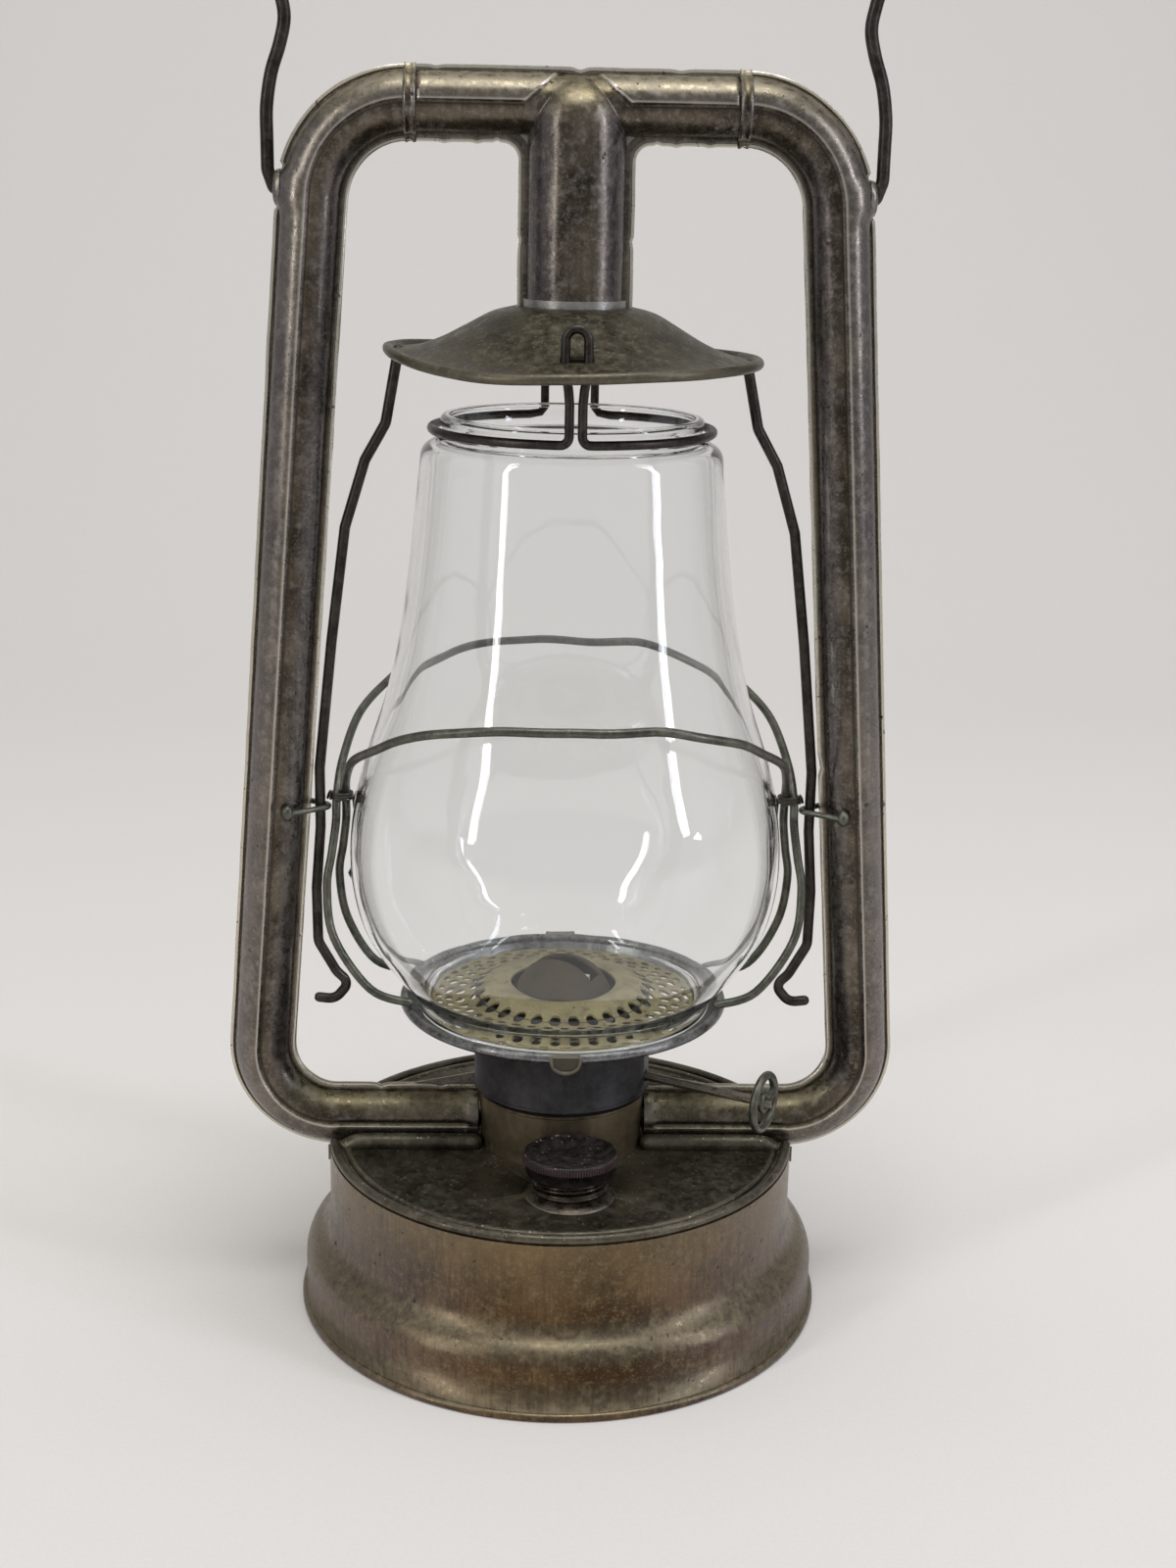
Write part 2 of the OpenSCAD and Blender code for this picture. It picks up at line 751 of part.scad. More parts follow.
rail_span = canopy_rim_z - guide_z;
rail_path = rounded([
    [canopy_r - canopy_bead, 0, canopy_rim_z - canopy_bead - joint_gap],
    [canopy_r - 0.6, 0, canopy_rim_z - 0.114 * rail_span],
    [canopy_r + 5, 0, canopy_rim_z - 0.22 * rail_span],
    [canopy_r + 10.5, 0, canopy_rim_z - 0.366 * rail_span],
    [canopy_r + 14.5, 0, canopy_rim_z - 0.618 * rail_span],
    [rail_x, 0, guide_z + 11],
    [rail_x, 0, guide_z - 6],
    [rail_x + 1.4, 0, guide_z - 24],
    [rail_x + 1.2, 0, guide_z - 40],
    [rail_x - 3.8, 0, guide_z - 49],
    [rail_x - 7.4, 0, guide_z - 52.5],
    [rail_x - 3.4, 0, guide_z - 57.5],
    [rail_x + 1.2, 0, guide_z - 57]
], 5);

module left_rail() { color(wire_black) mirror([1, 0, 0]) wire(rail_path, rail_wire); }
module right_rail() { color(wire_black) wire(rail_path, rail_wire); }

// Staple soldered to a side tube with two drops of solder, which a rail runs through
module guide_loop() {
    eye = rail_wire + loop_wire + 2 * joint_gap;
    drop_r = 1.6;
    seat = tube_r + step_h + joint_gap + drop_r;
    splay = 60;
    foot = [tube_x(guide_z) - seat * cos(splay), seat * sin(splay), guide_z];
    arc = [for (a = [100 : 20 : 260]) [rail_x, 0, guide_z] + on_circle(eye, a, 0)];
    wire(concat([foot], arc, [[foot[0], -foot[1], guide_z]]), loop_wire);
    for (s = [-1, 1]) translate([foot[0], s * foot[1], guide_z]) sphere(r = drop_r, $fn = 32);
}

module left_guide_loop() { color(wire_grey) mirror([1, 0, 0]) guide_loop(); }
module right_guide_loop() { color(wire_grey) guide_loop(); }

// Bail

ear_t = 1;
ear_x = bail_half - bail_wire - 0.1 - ear_t;

module bail_ear() {
    inner = tube_x(pivot_z) + tube_r - 3;
    half = bail_wire + 2.2;
    difference() {
        translate([inner, -half, pivot_z - half - 1.5]) cube([ear_x + ear_t - inner, 2 * half, 2 * half + 3]);
        translate([inner - 1, -half - 1, pivot_z - half]) cube([ear_x - inner + 1, 2 * half + 2, 2 * half]);
        translate([0, 0, pivot_z]) rotate([0, 90, 0]) cylinder(r = bail_wire + running_gap, h = 200, $fn = 48);
        along_right_tube() offset_section();
    }
}

// Space of the tube with a soldering gap all round
module offset_section() {
    circle(r = tube_r + step_h + joint_gap, $fn = fine);
    square([2 * (tube_r + seam_w + joint_gap), seam_t + 2 * joint_gap], center = true);
}

module left_bail_ear() { color(tin) mirror([1, 0, 0]) bail_ear(); }
module right_bail_ear() { color(tin) bail_ear(); }

bail_arch = bail_h - 47;
bail_path = rounded(concat(
    [
        [bail_half, 0, pivot_z],
        [bail_half, 0, pivot_z + 20],
        [bail_half - 5.4, 0, pivot_z + 39],
        [bail_half - 2.4, 0, pivot_z + 47]
    ],
    [
        for (a = [12 : 12 : 84])
            [(bail_half - 2.4) * cos(a), 0, pivot_z + 47 + bail_arch * sin(a)]
    ],
    [[0, 0, pivot_z + bail_h]]
), 6);

module bail() {
    color(wire_black) mirrored_x() {
        wire(bail_path, bail_wire);
        translate([ear_x - 1.2, 0, pivot_z]) rotate([0, 90, 0])
            cylinder(r = bail_wire, h = bail_half - ear_x + 1.2, $fn = 48);
        translate([bail_half, 0, pivot_z]) sphere(r = bail_wire, $fn = 48);
    }
}

// Globe plate and guard

module globe_plate() {
    color(bright_tin) rotate_extrude($fn = fine) {
        translate([plate_hole_r, plate_z]) square([plate_r - plate_bead - plate_hole_r, sheet]);
        translate([plate_r - plate_bead, plate_rim_z]) circle(r = plate_bead, $fn = 32);
    }
}

module perforated_plate() {
    edge = draft_foot_r - draft_edge;
    top = draft_floor + draft_ring_h;
    row_step = (edge - chamber_r) / hole_rows;
    color(brass_dust) difference() {
        rotate_extrude($fn = fine) polygon([
            [draft_foot_r, draft_floor], [draft_foot_r, draft_floor + sheet], [edge, draft_floor + sheet],
            [draft_ring_r, top + sheet], [draft_hole_r, top + sheet],
            [draft_hole_r, top], [draft_ring_r, top], [edge, draft_floor]
        ]);
        for (row = [0 : hole_rows - 1]) for (k = [0 : hole_count - 1])
            rotate([0, 0, (k + 0.5 * (row % 2)) * 360 / hole_count])
                translate([edge - row_step * (row + 0.5), 0, draft_floor - 1])
                    cylinder(r = hole_r, h = draft_ring_h + 4, $fn = 24);
        for (k = [0 : drop_count - 1]) rotate([0, 0, k * 360 / drop_count])
            translate([chamber_r - 0.9, 0, draft_floor - 1]) linear_extrude(draft_ring_h + 4) {
                circle(r = 1.2, $fn = 24);
                polygon([[0.1, 1.19], [-2.9, 0.4], [-2.9, -0.4], [0.1, -1.19]]);
            }
    }
}

// Spring clips that hold the globe down on its plate, front and back
module plate_clips() {
    top = plate_rim_z + plate_bead + joint_gap;
    foot = plate_rim_z - plate_bead - 1;
    color(bright_tin) for (a = [-90, 90]) rotate([0, 0, a]) {
        translate([plate_r + joint_gap, -clip_w / 2, foot]) cube([clip_t, clip_w, top + clip_t - foot]);
        translate([plate_r - clip_reach, -clip_w / 2, top]) cube([clip_reach + clip_t, clip_w, clip_t]);
    }
}

// Half of a hoop, from the plate's rim to the top: the hoops cross at x
hoop_foot_y = 13;
hoop_foot_x = sqrt(pow(plate_r - plate_bead, 2) - hoop_foot_y * hoop_foot_y);
cross_z = guide_z + 3.2;
function hoop_half(x, reach) = [
    [hoop_foot_x, hoop_foot_y, plate_rim_z + plate_bead + hoop_wire + joint_gap],
    [hoop_foot_x + 11, 11.4, plate_rim_z + 6],
    [x + 0.6, 8.4, plate_rim_z + 20],
    [x + 2.6, 6, plate_rim_z + 34],
    [x + 1.3, 4, guide_z - 12.5],
    [x + 0.2, 2, guide_z - 4],
    [x, 0, cross_z],
    [x - 1, -8.5, cross_z + 8],
    [x - 4.4, -25, cross_z + 17],
    [x - 11.4, -37, cross_z + 23.3],
    [x - 19.4, reach * -0.8, hoop_top_z - 5],
    [x - 37.4, reach * -0.955, hoop_top_z - 0.6],
    [0, -reach, hoop_top_z]
];

module hoop(x) {
    half = hoop_half(x, hoop_reach);
    whole = concat(half, [for (i = [len(half) - 2 : -1 : 0]) [-half[i][0], half[i][1], half[i][2]]]);
    wire(smooth(whole, 3), hoop_wire);
}

module front_hoop() { color(wire_grey) hoop(hoop_cross_x - hoop_wire - joint_gap); }
module rear_hoop() { color(wire_grey) rotate([0, 0, 180]) hoop(hoop_cross_x + hoop_wire + joint_gap); }

// Wire bound round the two hoops where they cross
tie_wire = 0.4;
module crossing_tie() {
    half_x = 2 * hoop_wire + 2 * joint_gap + tie_wire + 0.1;
    half_y = 1.45 * hoop_wire + 3 * tie_wire + 0.1;
    for (s = [-1, 1]) translate([hoop_cross_x, 0, cross_z + 1.1 * s * tie_wire])
        wire([for (a = [0 : 24 : 336]) [half_x * cos(a), half_y * sin(a), 0]], tie_wire);
}

module left_tie() { color(wire_black) mirror([1, 0, 0]) crossing_tie(); }
module right_tie() { color(wire_black) crossing_tie(); }

// Globe

// Outline of the globe from its foot to its lip, as radius and height above the foot
globe_outline = smooth([
    [globe_foot_r, 0],
    [globe_foot_r + 0.6, 3.4],
    [globe_belly_r - 9.6, 13.6],
    [globe_belly_r - 2.4, 27],
    [globe_belly_r, 45],
    [globe_belly_r - 3.3, 68],
    [globe_belly_r - 10.7, 91],
    [globe_belly_r - 15.8, globe_h - 47],
    [globe_shoulder_r + 0.9, globe_h - 17],
    [globe_shoulder_r, globe_h - 9.4],
    [globe_shoulder_r - 3, globe_h - 6.6],
    [globe_lip_r - 0.6, globe_h - 5.4],
    [globe_lip_r, globe_h - 1.2],
    [globe_lip_r - 0.8, globe_h]
], 3);

module globe() {
    n = len(globe_outline);
    inner = [
        for (i = [n - 1 : -1 : 0])
            let (t = unit(globe_outline[min(i + 1, n - 1)] - globe_outline[max(i - 1, 0)]))
            [globe_outline[i][0] - glass * max(t[1], 0.55), globe_outline[i][1] + (i == 0 || i == n - 1 ? 0 : glass * 0.6 * t[0])]
    ];
    color(clear_glass) translate([0, 0, globe_z])
        rotate_extrude($fn = fine) polygon(concat(globe_outline, inner));
}

// Wire ring round the globe's neck, hung from the canopy by two hairpins
ring_path = concat(
    rounded([
        [0, -ring_r, canopy_rim_z + hairpin_top],
        [front_leg + hairpin_spread, -ring_r, canopy_rim_z + hairpin_top - 0.4],
        [front_leg + hairpin_spread, -ring_r, canopy_rim_z + 5],
        [front_leg, -ring_r, canopy_rim_z + 3.4],
        [front_leg, -ring_r, ring_z + 2.6]
    ], 2.2),
    [for (a = [-86 : 8 : 74]) on_circle(ring_r, a, ring_z + (a < -84 ? 0.8 : 0))],
    rounded([
        [rear_leg + 1.4, rear_leg_y - 0.5, ring_z + 0.5],
        [rear_leg, rear_leg_y, ring_z + 2.4],
        [rear_leg, rear_leg_y, canopy_rim_z + 9],
        [rear_leg - 2.4, rear_leg_y, canopy_rim_z + 11],
        [0, rear_leg_y, canopy_rim_z + 11]
    ], 2.2)
);

module globe_ring() {
    color(wire_black) mirrored_x() wire(ring_path, ring_wire);
}

// Burner

// Places its children on the adjuster's shaft, with +Z outwards along it
module on_shaft() {
    turned() translate([0, shaft_offset, shaft_z]) rotate([0, 90, 0]) children();
}

tube_half_w = wick_w / 2 + wick_gap + tube_wall;
tube_half_t = wick_t / 2 + wick_gap + tube_wall;
tube_top = dome_top - 8;
deck_z = fount_h + 5;

module burner_body() {
    color(brass_dust) difference() {
        union() {
            translate([0, 0, fount_h - 5]) cylinder(r = burner_hole_r - joint_gap, h = 9, $fn = fine);
            translate([0, 0, fount_h + joint_gap]) cylinder(r = burner_hole_r + 3, h = 2, $fn = fine);
            translate([0, 0, deck_z - 1.4]) cylinder(r = collar_r - sheet - 1, h = 1.4, $fn = fine);
            turned() translate([tube_half_w + 1, shaft_offset - 2.6, deck_z - 1])
                cube([3, 5.2, shaft_z - deck_z + 3.6]);
        }
        turned() cube([2 * (tube_half_w + joint_gap), 2 * (tube_half_t + joint_gap), 300], center = true);
        on_shaft() cylinder(r = shaft_r + running_gap, h = 60, $fn = 48);
        for (a = [30 : 60 : 330]) turned() rotate([0, 0, a]) translate([18.6, 0, 40])
            cylinder(r = 2, h = 30, $fn = 24);
    }
}

module wick_tube() {
    window = wheel_r + 0.5;
    color(brass_dust) turned() difference() {
        translate([-tube_half_w, -tube_half_t, fount_h - 7])
            cube([2 * tube_half_w, 2 * tube_half_t, tube_top - fount_h + 7]);
        translate([tube_wall - tube_half_w, tube_wall - tube_half_t, 0])
            cube([2 * (tube_half_w - tube_wall), 2 * (tube_half_t - tube_wall), 200]);
        for (s = [-1, 1]) translate([s * wheel_place - 1.1, 0, shaft_z - window])
            cube([2.2, 20, 2 * window]);
    }
}

module burner_dome() {
    base = dome_top - dome_rise;
    cap_radius = (dome_r * dome_r + dome_rise * dome_rise) / (2 * dome_rise);
    ledge = collar_top + ledge_rise + sheet + joint_gap;
    module cap_form(inset) {
        intersection() {
            translate([0, dome_top - cap_radius]) circle(r = cap_radius - inset, $fn = fine);
            translate([0, base]) square([dome_r - inset, 20]);
        }
        translate([0, ledge]) square([dome_r - inset, base - ledge + 0.01]);
    }
    color(dome_brown) difference() {
        rotate_extrude($fn = fine) {
            difference() {
                cap_form(0);
                cap_form(sheet);
            }
            translate([dome_r - sheet, ledge]) square([collar_r - sheet - dome_r, sheet]);
        }
        turned() translate([-10.2, -2.6, base]) cube([20.4, 5.2, 30]);
        for (a = [0 : 30 : 330]) rotate([0, 0, a]) translate([18, 0, ledge - 1])
            cylinder(r = 2, h = 3, $fn = 24);
    }
}

module wick() {
    color(cotton) turned() translate([-wick_w / 2, -wick_t / 2, 12])
        cube([wick_w, wick_t, wick_top - 12]);
}

module wick_shaft() {
    color(wire_black) on_shaft() {
        translate([0, 0, -7]) cylinder(r = shaft_r, h = thumb_reach + 7 + 2.4, $fn = 48);
    }
}

module spur_wheels() {
    teeth = 14;
    color(brass_dust) on_shaft() for (s = [-1, 1]) translate([0, 0, s * wheel_place - 0.5])
        linear_extrude(1) difference() {
            polygon([
                for (k = [0 : 2 * teeth - 1])
                    (k % 2 == 0 ? wheel_r : wheel_r - 0.8) * [cos(k * 180 / teeth), sin(k * 180 / teeth)]
            ]);
            circle(r = shaft_r + joint_gap, $fn = 48);
        }
}

// Wire ring that the user turns, with the spoke that joins it to the shaft
module thumb_ring() {
    color(wire_grey) on_shaft() translate([0, 0, thumb_reach]) {
        difference() {
            union() {
                rotate_extrude($fn = 64) translate([thumb_r - thumb_wire, 0]) circle(r = thumb_wire, $fn = 24);
                rotate([0, -90, 90]) cylinder(r = 1.05, h = thumb_r - thumb_wire, $fn = 24);
                translate([0, 0, -1.6]) cylinder(r = shaft_r + 0.9, h = 3.2, $fn = 48);
            }
            translate([0, 0, -20]) cylinder(r = shaft_r + joint_gap, h = 40, $fn = 48);
        }
    }
}

fount_body();
fount_top();
fount_bottom();
filler_neck();
filler_cap();
cap_gasket();
lower_collar();
air_chamber();
left_tube_front();
left_tube_back();
right_tube_front();
right_tube_back();
crown_front();
crown_back();
left_band();
right_band();
chimney_band();
canopy();
left_rail();
right_rail();
left_guide_loop();
right_guide_loop();
left_bail_ear();
right_bail_ear();
bail();
globe_plate();
perforated_plate();
plate_clips();
front_hoop();
rear_hoop();
left_tie();
right_tie();
globe();
globe_ring();
burner_body();
wick_tube();
burner_dome();
wick();
wick_shaft();
spur_wheels();
thumb_ring();
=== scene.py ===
import math

import bmesh
import bpy
from mathutils import Matrix, Vector, noise

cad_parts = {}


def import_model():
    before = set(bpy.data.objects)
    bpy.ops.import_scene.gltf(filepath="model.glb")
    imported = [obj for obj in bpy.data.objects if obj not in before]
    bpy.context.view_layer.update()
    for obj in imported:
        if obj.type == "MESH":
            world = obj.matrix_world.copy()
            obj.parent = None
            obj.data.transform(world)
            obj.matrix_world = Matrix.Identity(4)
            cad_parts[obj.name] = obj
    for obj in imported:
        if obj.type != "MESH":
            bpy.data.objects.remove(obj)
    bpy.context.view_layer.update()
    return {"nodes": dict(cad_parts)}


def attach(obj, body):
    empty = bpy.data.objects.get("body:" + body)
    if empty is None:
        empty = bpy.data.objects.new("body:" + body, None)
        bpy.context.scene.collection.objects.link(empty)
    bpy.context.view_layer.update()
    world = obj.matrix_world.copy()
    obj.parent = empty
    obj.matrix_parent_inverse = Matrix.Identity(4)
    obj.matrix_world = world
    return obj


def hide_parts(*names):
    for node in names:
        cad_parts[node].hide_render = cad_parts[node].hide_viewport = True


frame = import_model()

MM = 0.001

# Sizes
# The same lengths as the solids, in millimetres.

SHEET = 0.8
TUBE_R = 7.4
SEAM_W = 2.0
SEAM_T = 1.2
STEP_H = 0.45
STEP_SHARP = 0.18
STEP_SIDE = 0.6
ARM_Z = 54.2
CORNER_X = 87.4
BOTTOM_BEND = 21.5
TOP_BEND = 25.4
LEAN = math.atan2(237, 3116)
COLLAR_R = 23.8
CHAMBER_R = 25.1
COLLAR_TOP = 64.6
JOINT_GAP = 0.05
BAND_W = 3.2
CHIMNEY_R = 12.7

GLOBE_Z = 90.6
GLOBE_H = 165.0
GLASS = 2.2
FOOT_R = 41.6
BELLY_R = 60.0
SHOULDER_R = 40.0
LIP_R = 35.0

CANOPY_R = 50.0
CANOPY_BEAD = 1.4
CANOPY_RISE = 13.6
RIM_Z = GLOBE_Z + GLOBE_H + 14.4
FRAME_H = RIM_Z + 73
TOP_Z = FRAME_H - SEAM_W - TUBE_R
PIVOT_Z = FRAME_H - 31
GUIDE_Z = GLOBE_Z + 56.4
HOOP_TOP_Z = GLOBE_Z + 92.6
CHIMNEY_BOTTOM = RIM_Z + CANOPY_RISE - 0.8

PLATE_R = 46.4
PLATE_BEAD = 1.4
PLATE_RIM_Z = GLOBE_Z - 0.3 + 0.7

BAIL_R = 1.7
BAIL_HALF = 79.8
BAIL_H = 121.0

FOUNT_H = 48.0
REAR_SAG = 3.5
SHAFT_Z = 69.5
SHAFT_R = 1.3
SHAFT_OFFSET = 5.0
BURNER_TURN = math.radians(-28.7)
THUMB_R = 8.85
THUMB_WIRE = 1.2
THUMB_REACH = 61.0
NECK_R = 10.0
NECK_H = 9.0
FILLER = Vector((2.0, -38.4, FOUNT_H))
FILLER_LEAN = math.radians(4)

TOP_CORNER_X = CORNER_X - (TOP_Z - ARM_Z) * math.tan(LEAN)
SIDE_LENGTH = math.hypot(CORNER_X - TOP_CORNER_X, TOP_Z - ARM_Z)
BOTTOM_TANGENT = BOTTOM_BEND * math.tan((math.pi / 2 + LEAN) / 2)
TOP_TANGENT = TOP_BEND * math.tan((math.pi / 2 - LEAN) / 2)
TEE_HALF = TOP_CORNER_X - TOP_TANGENT - JOINT_GAP


def tube_x(z):
    """Centre line of a side tube at a height."""
    return CORNER_X - (z - ARM_Z) * math.tan(LEAN)


# Materials

def colour(code):
    """Linear colour from an sRGB hex code."""
    parts = [int(code[i:i + 2], 16) / 255 for i in (1, 3, 5)]
    return [c / 12.92 if c <= 0.04045 else ((c + 0.055) / 1.055) ** 2.4 for c in parts] + [1.0]


def add(tree, kind, settings=None, inputs=None):
    """Adds a shader or geometry node with its settings, values and links."""
    made = tree.nodes.new(kind if tree.bl_idname == "GeometryNodeTree" else "ShaderNode" + kind)
    for key, value in (settings or {}).items():
        setattr(made, key, value)
    for key, value in (inputs or {}).items():
        if isinstance(value, bpy.types.NodeSocket):
            tree.links.new(value, made.inputs[key])
        else:
            made.inputs[key].default_value = value
    return made


def new_material(name):
    """Empty material and its node tree."""
    made = bpy.data.materials.new(name)
    made.use_nodes = True
    made.node_tree.nodes.clear()
    return made, made.node_tree


def per_mm(size):
    """Noise scale whose features are about that many millimetres wide."""
    return 1 / (size * MM)


BARE_METAL_AND_HIGHLIGHT = "#d6cfbd"
LINT = "#aaa494"


def aged_metal(
    name, base, dark, light, *, rough, patch, dust, dust_share, rust, metal=0.85, light_share=0.5,
    rust_share=0.3, relief=0.05, streak=0.3, cool=None, warm=None, tint_share=0.6, wear=0.6, lint=0.0,
):
    """Old sheet or wire: blotched tone, fine streaks, dust on what faces up, and rust specks, with painted
    highlight and shade where the mesh is marked and, when given, a painted sheen on the flanks and a painted
    warm highlight on faces turned up.
    """
    made, tree = new_material(name)
    place = add(tree, "TexCoord").outputs["Object"]
    long_way = add(tree, "Mapping", inputs={
        "Vector": place, "Location": (3.1, 1.7, 0.4), "Scale": (1.0, 1.0, 0.08)}).outputs["Vector"]
    # Place, width of the features in millimetres, detail and roughness
    noises = {
        "blotch": (place, patch, 4.0, 0.6),
        "grain": (place, 2.6, 6.0, 0.68),
        "streaks": (long_way, 1.1, 3.0, 0.6),
        "speck": (place, 1.9, 3.0, 0.55),
        "fleck": (place, 0.9, 4.0, 0.7),
    }
    for key, (vector, size, detail, uneven) in noises.items():
        noises[key] = add(tree, "TexNoise", inputs={
            "Vector": vector, "Scale": per_mm(size), "Detail": detail, "Roughness": uneven}).outputs["Fac"]
    blotch, grain = noises["blotch"], noises["grain"]
    surface = add(tree, "NewGeometry").outputs
    split = add(tree, "SeparateXYZ", inputs={"Vector": surface["Normal"]}).outputs
    facing = split["Z"]
    # The point attribute of marks gives rubbed places and painted highlights above 0, painted shade and
    # darker parts below 0
    marked = add(tree, "Attribute", {"attribute_name": "wear_and_painted_light"}).outputs["Fac"]

    # What a mask follows, the values at which it starts and is full, and its share when full
    masks = {
        "dark": (blotch, 0.42, 0.62, 1.0),
        "light": (grain, 0.5, 0.72, light_share),
        "fleck": (noises["fleck"], 0.54, 0.68, light_share * 0.8),
        "streak": (noises["streaks"], 0.48, 0.7, streak),
        "speck": (noises["speck"], 0.66, 0.71, 1.0),
        "rusty area": (blotch, 0.38, 0.56, min(1.0, rust_share * 2.5)),
        "edge": (surface["Pointiness"], 0.53, 0.62, wear),
        "fold": (surface["Pointiness"], 0.47, 0.39, 0.7),
        "facing up": (facing, 0.25, 0.95, dust_share * 1.6),
        "dusty": (grain, 0.35, 0.62, 1.0),
        # Marked places turn pale: bare tin on worn flanges, painted highlight along crests
        "bare_and_highlight": (marked, 0.3, 0.9, 0.8),
    }
    for key, (source, start, full, most) in masks.items():
        masks[key] = add(tree, "MapRange", inputs={
            "Value": source, "From Min": start, "From Max": full, "To Max": most}).outputs["Result"]
    rust_fac = add(tree, "Math", {"operation": "MULTIPLY"}, {
        0: masks["speck"], 1: masks["rusty area"]}).outputs[0]
    # Edges rubbed bright, and painted highlights where marked; folds and grooves darker, and painted shade
    # where marked
    wear_and_painted_light = add(tree, "Math", {"operation": "MAXIMUM"}, {0: masks["edge"], 1: marked}).outputs[0]
    painted_shade_and_dark_marks = add(tree, "Math", {"operation": "MULTIPLY", "use_clamp": True}, {
        0: marked, 1: -1.0}).outputs[0]
    kept = add(tree, "Math", {"operation": "SUBTRACT"}, {0: 1.0, 1: painted_shade_and_dark_marks}).outputs[0]
    wear_and_painted_light = add(tree, "Math", {"operation": "MULTIPLY"}, {0: wear_and_painted_light, 1: kept}).outputs[0]
    fold_dark_and_painted_shade = add(tree, "Math", {"operation": "MAXIMUM", "use_clamp": True}, {
        0: masks["fold"], 1: painted_shade_and_dark_marks}).outputs[0]
    dust_fac = add(tree, "Math", {"operation": "MULTIPLY", "use_clamp": True}, {
        0: masks["facing up"], 1: masks["dusty"]}).outputs[0]

    tone = add(tree, "Mix", {"data_type": "RGBA"}, {
        0: masks["dark"], 6: colour(base), 7: colour(dark)}).outputs[2]
    if cool:
        # Painted sheen: violet-grey tint on faces turned sideways, standing in for highlights on the flanks
        sideways = add(tree, "Math", {"operation": "ABSOLUTE"}, {0: split["X"]}).outputs[0]
        sheen = add(tree, "MapRange", inputs={
            "Value": sideways, "From Min": 0.25, "From Max": 0.75, "To Max": tint_share}).outputs["Result"]
        tone = add(tree, "Mix", {"data_type": "RGBA"}, {0: sheen, 6: tone, 7: colour(cool)}).outputs[2]
    if warm:
        # Painted warm highlight: yellowish tint on faces turned up
        warm_highlight_share = add(tree, "MapRange", inputs={
            "Value": facing, "From Min": 0.15, "From Max": 0.7, "To Max": tint_share}).outputs["Result"]
        tone = add(tree, "Mix", {"data_type": "RGBA"}, {0: warm_highlight_share, 6: tone, 7: colour(warm)}).outputs[2]
    layers = [(masks["light"], light), (masks["fleck"], light), (masks["streak"], dark), (fold_dark_and_painted_shade, dark),
              (wear_and_painted_light, light), (masks["bare_and_highlight"], BARE_METAL_AND_HIGHLIGHT), (dust_fac, dust), (rust_fac, rust)]
    if lint:
        # Grains of dust, about 0.4 mm wide
        grains = add(tree, "TexVoronoi", inputs={"Vector": place, "Scale": per_mm(1.5)}).outputs
        chosen = add(tree, "MapRange", inputs={
            "Value": grains["Color"], "From Min": 0.56, "From Max": 0.6, "To Max": lint}).outputs["Result"]
        dot = add(tree, "MapRange", inputs={
            "Value": grains["Distance"], "From Min": 0.24, "From Max": 0.14}).outputs["Result"]
        lying = add(tree, "MapRange", inputs={
            "Value": facing, "From Min": 0.2, "From Max": 0.6}).outputs["Result"]
        chosen = add(tree, "Math", {"operation": "MULTIPLY"}, {0: chosen, 1: lying}).outputs[0]
        dot = add(tree, "Math", {"operation": "MULTIPLY"}, {0: dot, 1: chosen}).outputs[0]
        layers.append((dot, LINT))
    for share, code in layers:
        tone = add(tree, "Mix", {"data_type": "RGBA"}, {0: share, 6: tone, 7: colour(code)}).outputs[2]

    dull = add(tree, "Math", {"operation": "MAXIMUM"}, {0: dust_fac, 1: rust_fac}).outputs[0]
    roughness = add(tree, "MapRange", inputs={
        "Value": grain, "From Min": 0.35, "From Max": 0.65,
        "To Min": rough[0], "To Max": rough[1]}).outputs["Result"]
    roughness = add(tree, "Mix", {"data_type": "FLOAT"}, {0: dull, 2: roughness, 3: 0.85}).outputs[0]
    metallic = add(tree, "Mix", {"data_type": "FLOAT"}, {0: dull, 2: metal, 3: metal * 0.25}).outputs[0]

    height = add(tree, "Math", {"operation": "ADD"}, {0: grain, 1: blotch}).outputs[0]
    bump = add(tree, "Bump", inputs={
        "Strength": 0.6, "Distance": relief * MM, "Height": height}).outputs["Normal"]
    shader = add(tree, "BsdfPrincipled", inputs={
        "Base Color": tone, "Roughness": roughness, "Metallic": metallic, "Normal": bump})
    add(tree, "OutputMaterial", inputs={"Surface": shader.outputs[0]})
    return made


# Tinplate drawn and stamped, dulled to grey-brown, with a painted violet-grey sheen on the flanks and a
# painted warm highlight on faces turned up
TINPLATE = aged_metal(
    "tinplate_stamped_aged", "#6b6254", "#3b342b", "#a49d97", rough=(0.2, 0.38), metal=0.92,
    patch=15, dust="#857b5c", dust_share=0.3, rust="#3c291c", rust_share=0.5, relief=0.08,
    cool="#726d71", warm="#7b7153")
# The fount's wall is browner and a little more matt, with wide stains, a painted violet-grey sheen on its
# flanks and a painted warm highlight on faces turned up
FOUNT_TIN = aged_metal(
    "tinplate_drawn_brown", "#6a5237", "#412f1d", "#968769", rough=(0.24, 0.42),
    patch=26, dust="#786f55", dust_share=0.16, rust="#3a281a", rust_share=0.7, relief=0.06,
    cool="#6f6867", warm="#79725f", wear=0.5, streak=0.45)
# Fount top: oily sheet, the darkest tin, with dust lying on it
DARK_TIN = aged_metal(
    "tinplate_oily_dark", "#625b4c", "#3f392f", "#8f897d", rough=(0.28, 0.46), metal=0.8,
    patch=16, light_share=0.4, dust="#575142", dust_share=0.25, rust="#3c2c1e", rust_share=0.4, relief=0.06,
    wear=0.7, lint=0.8)
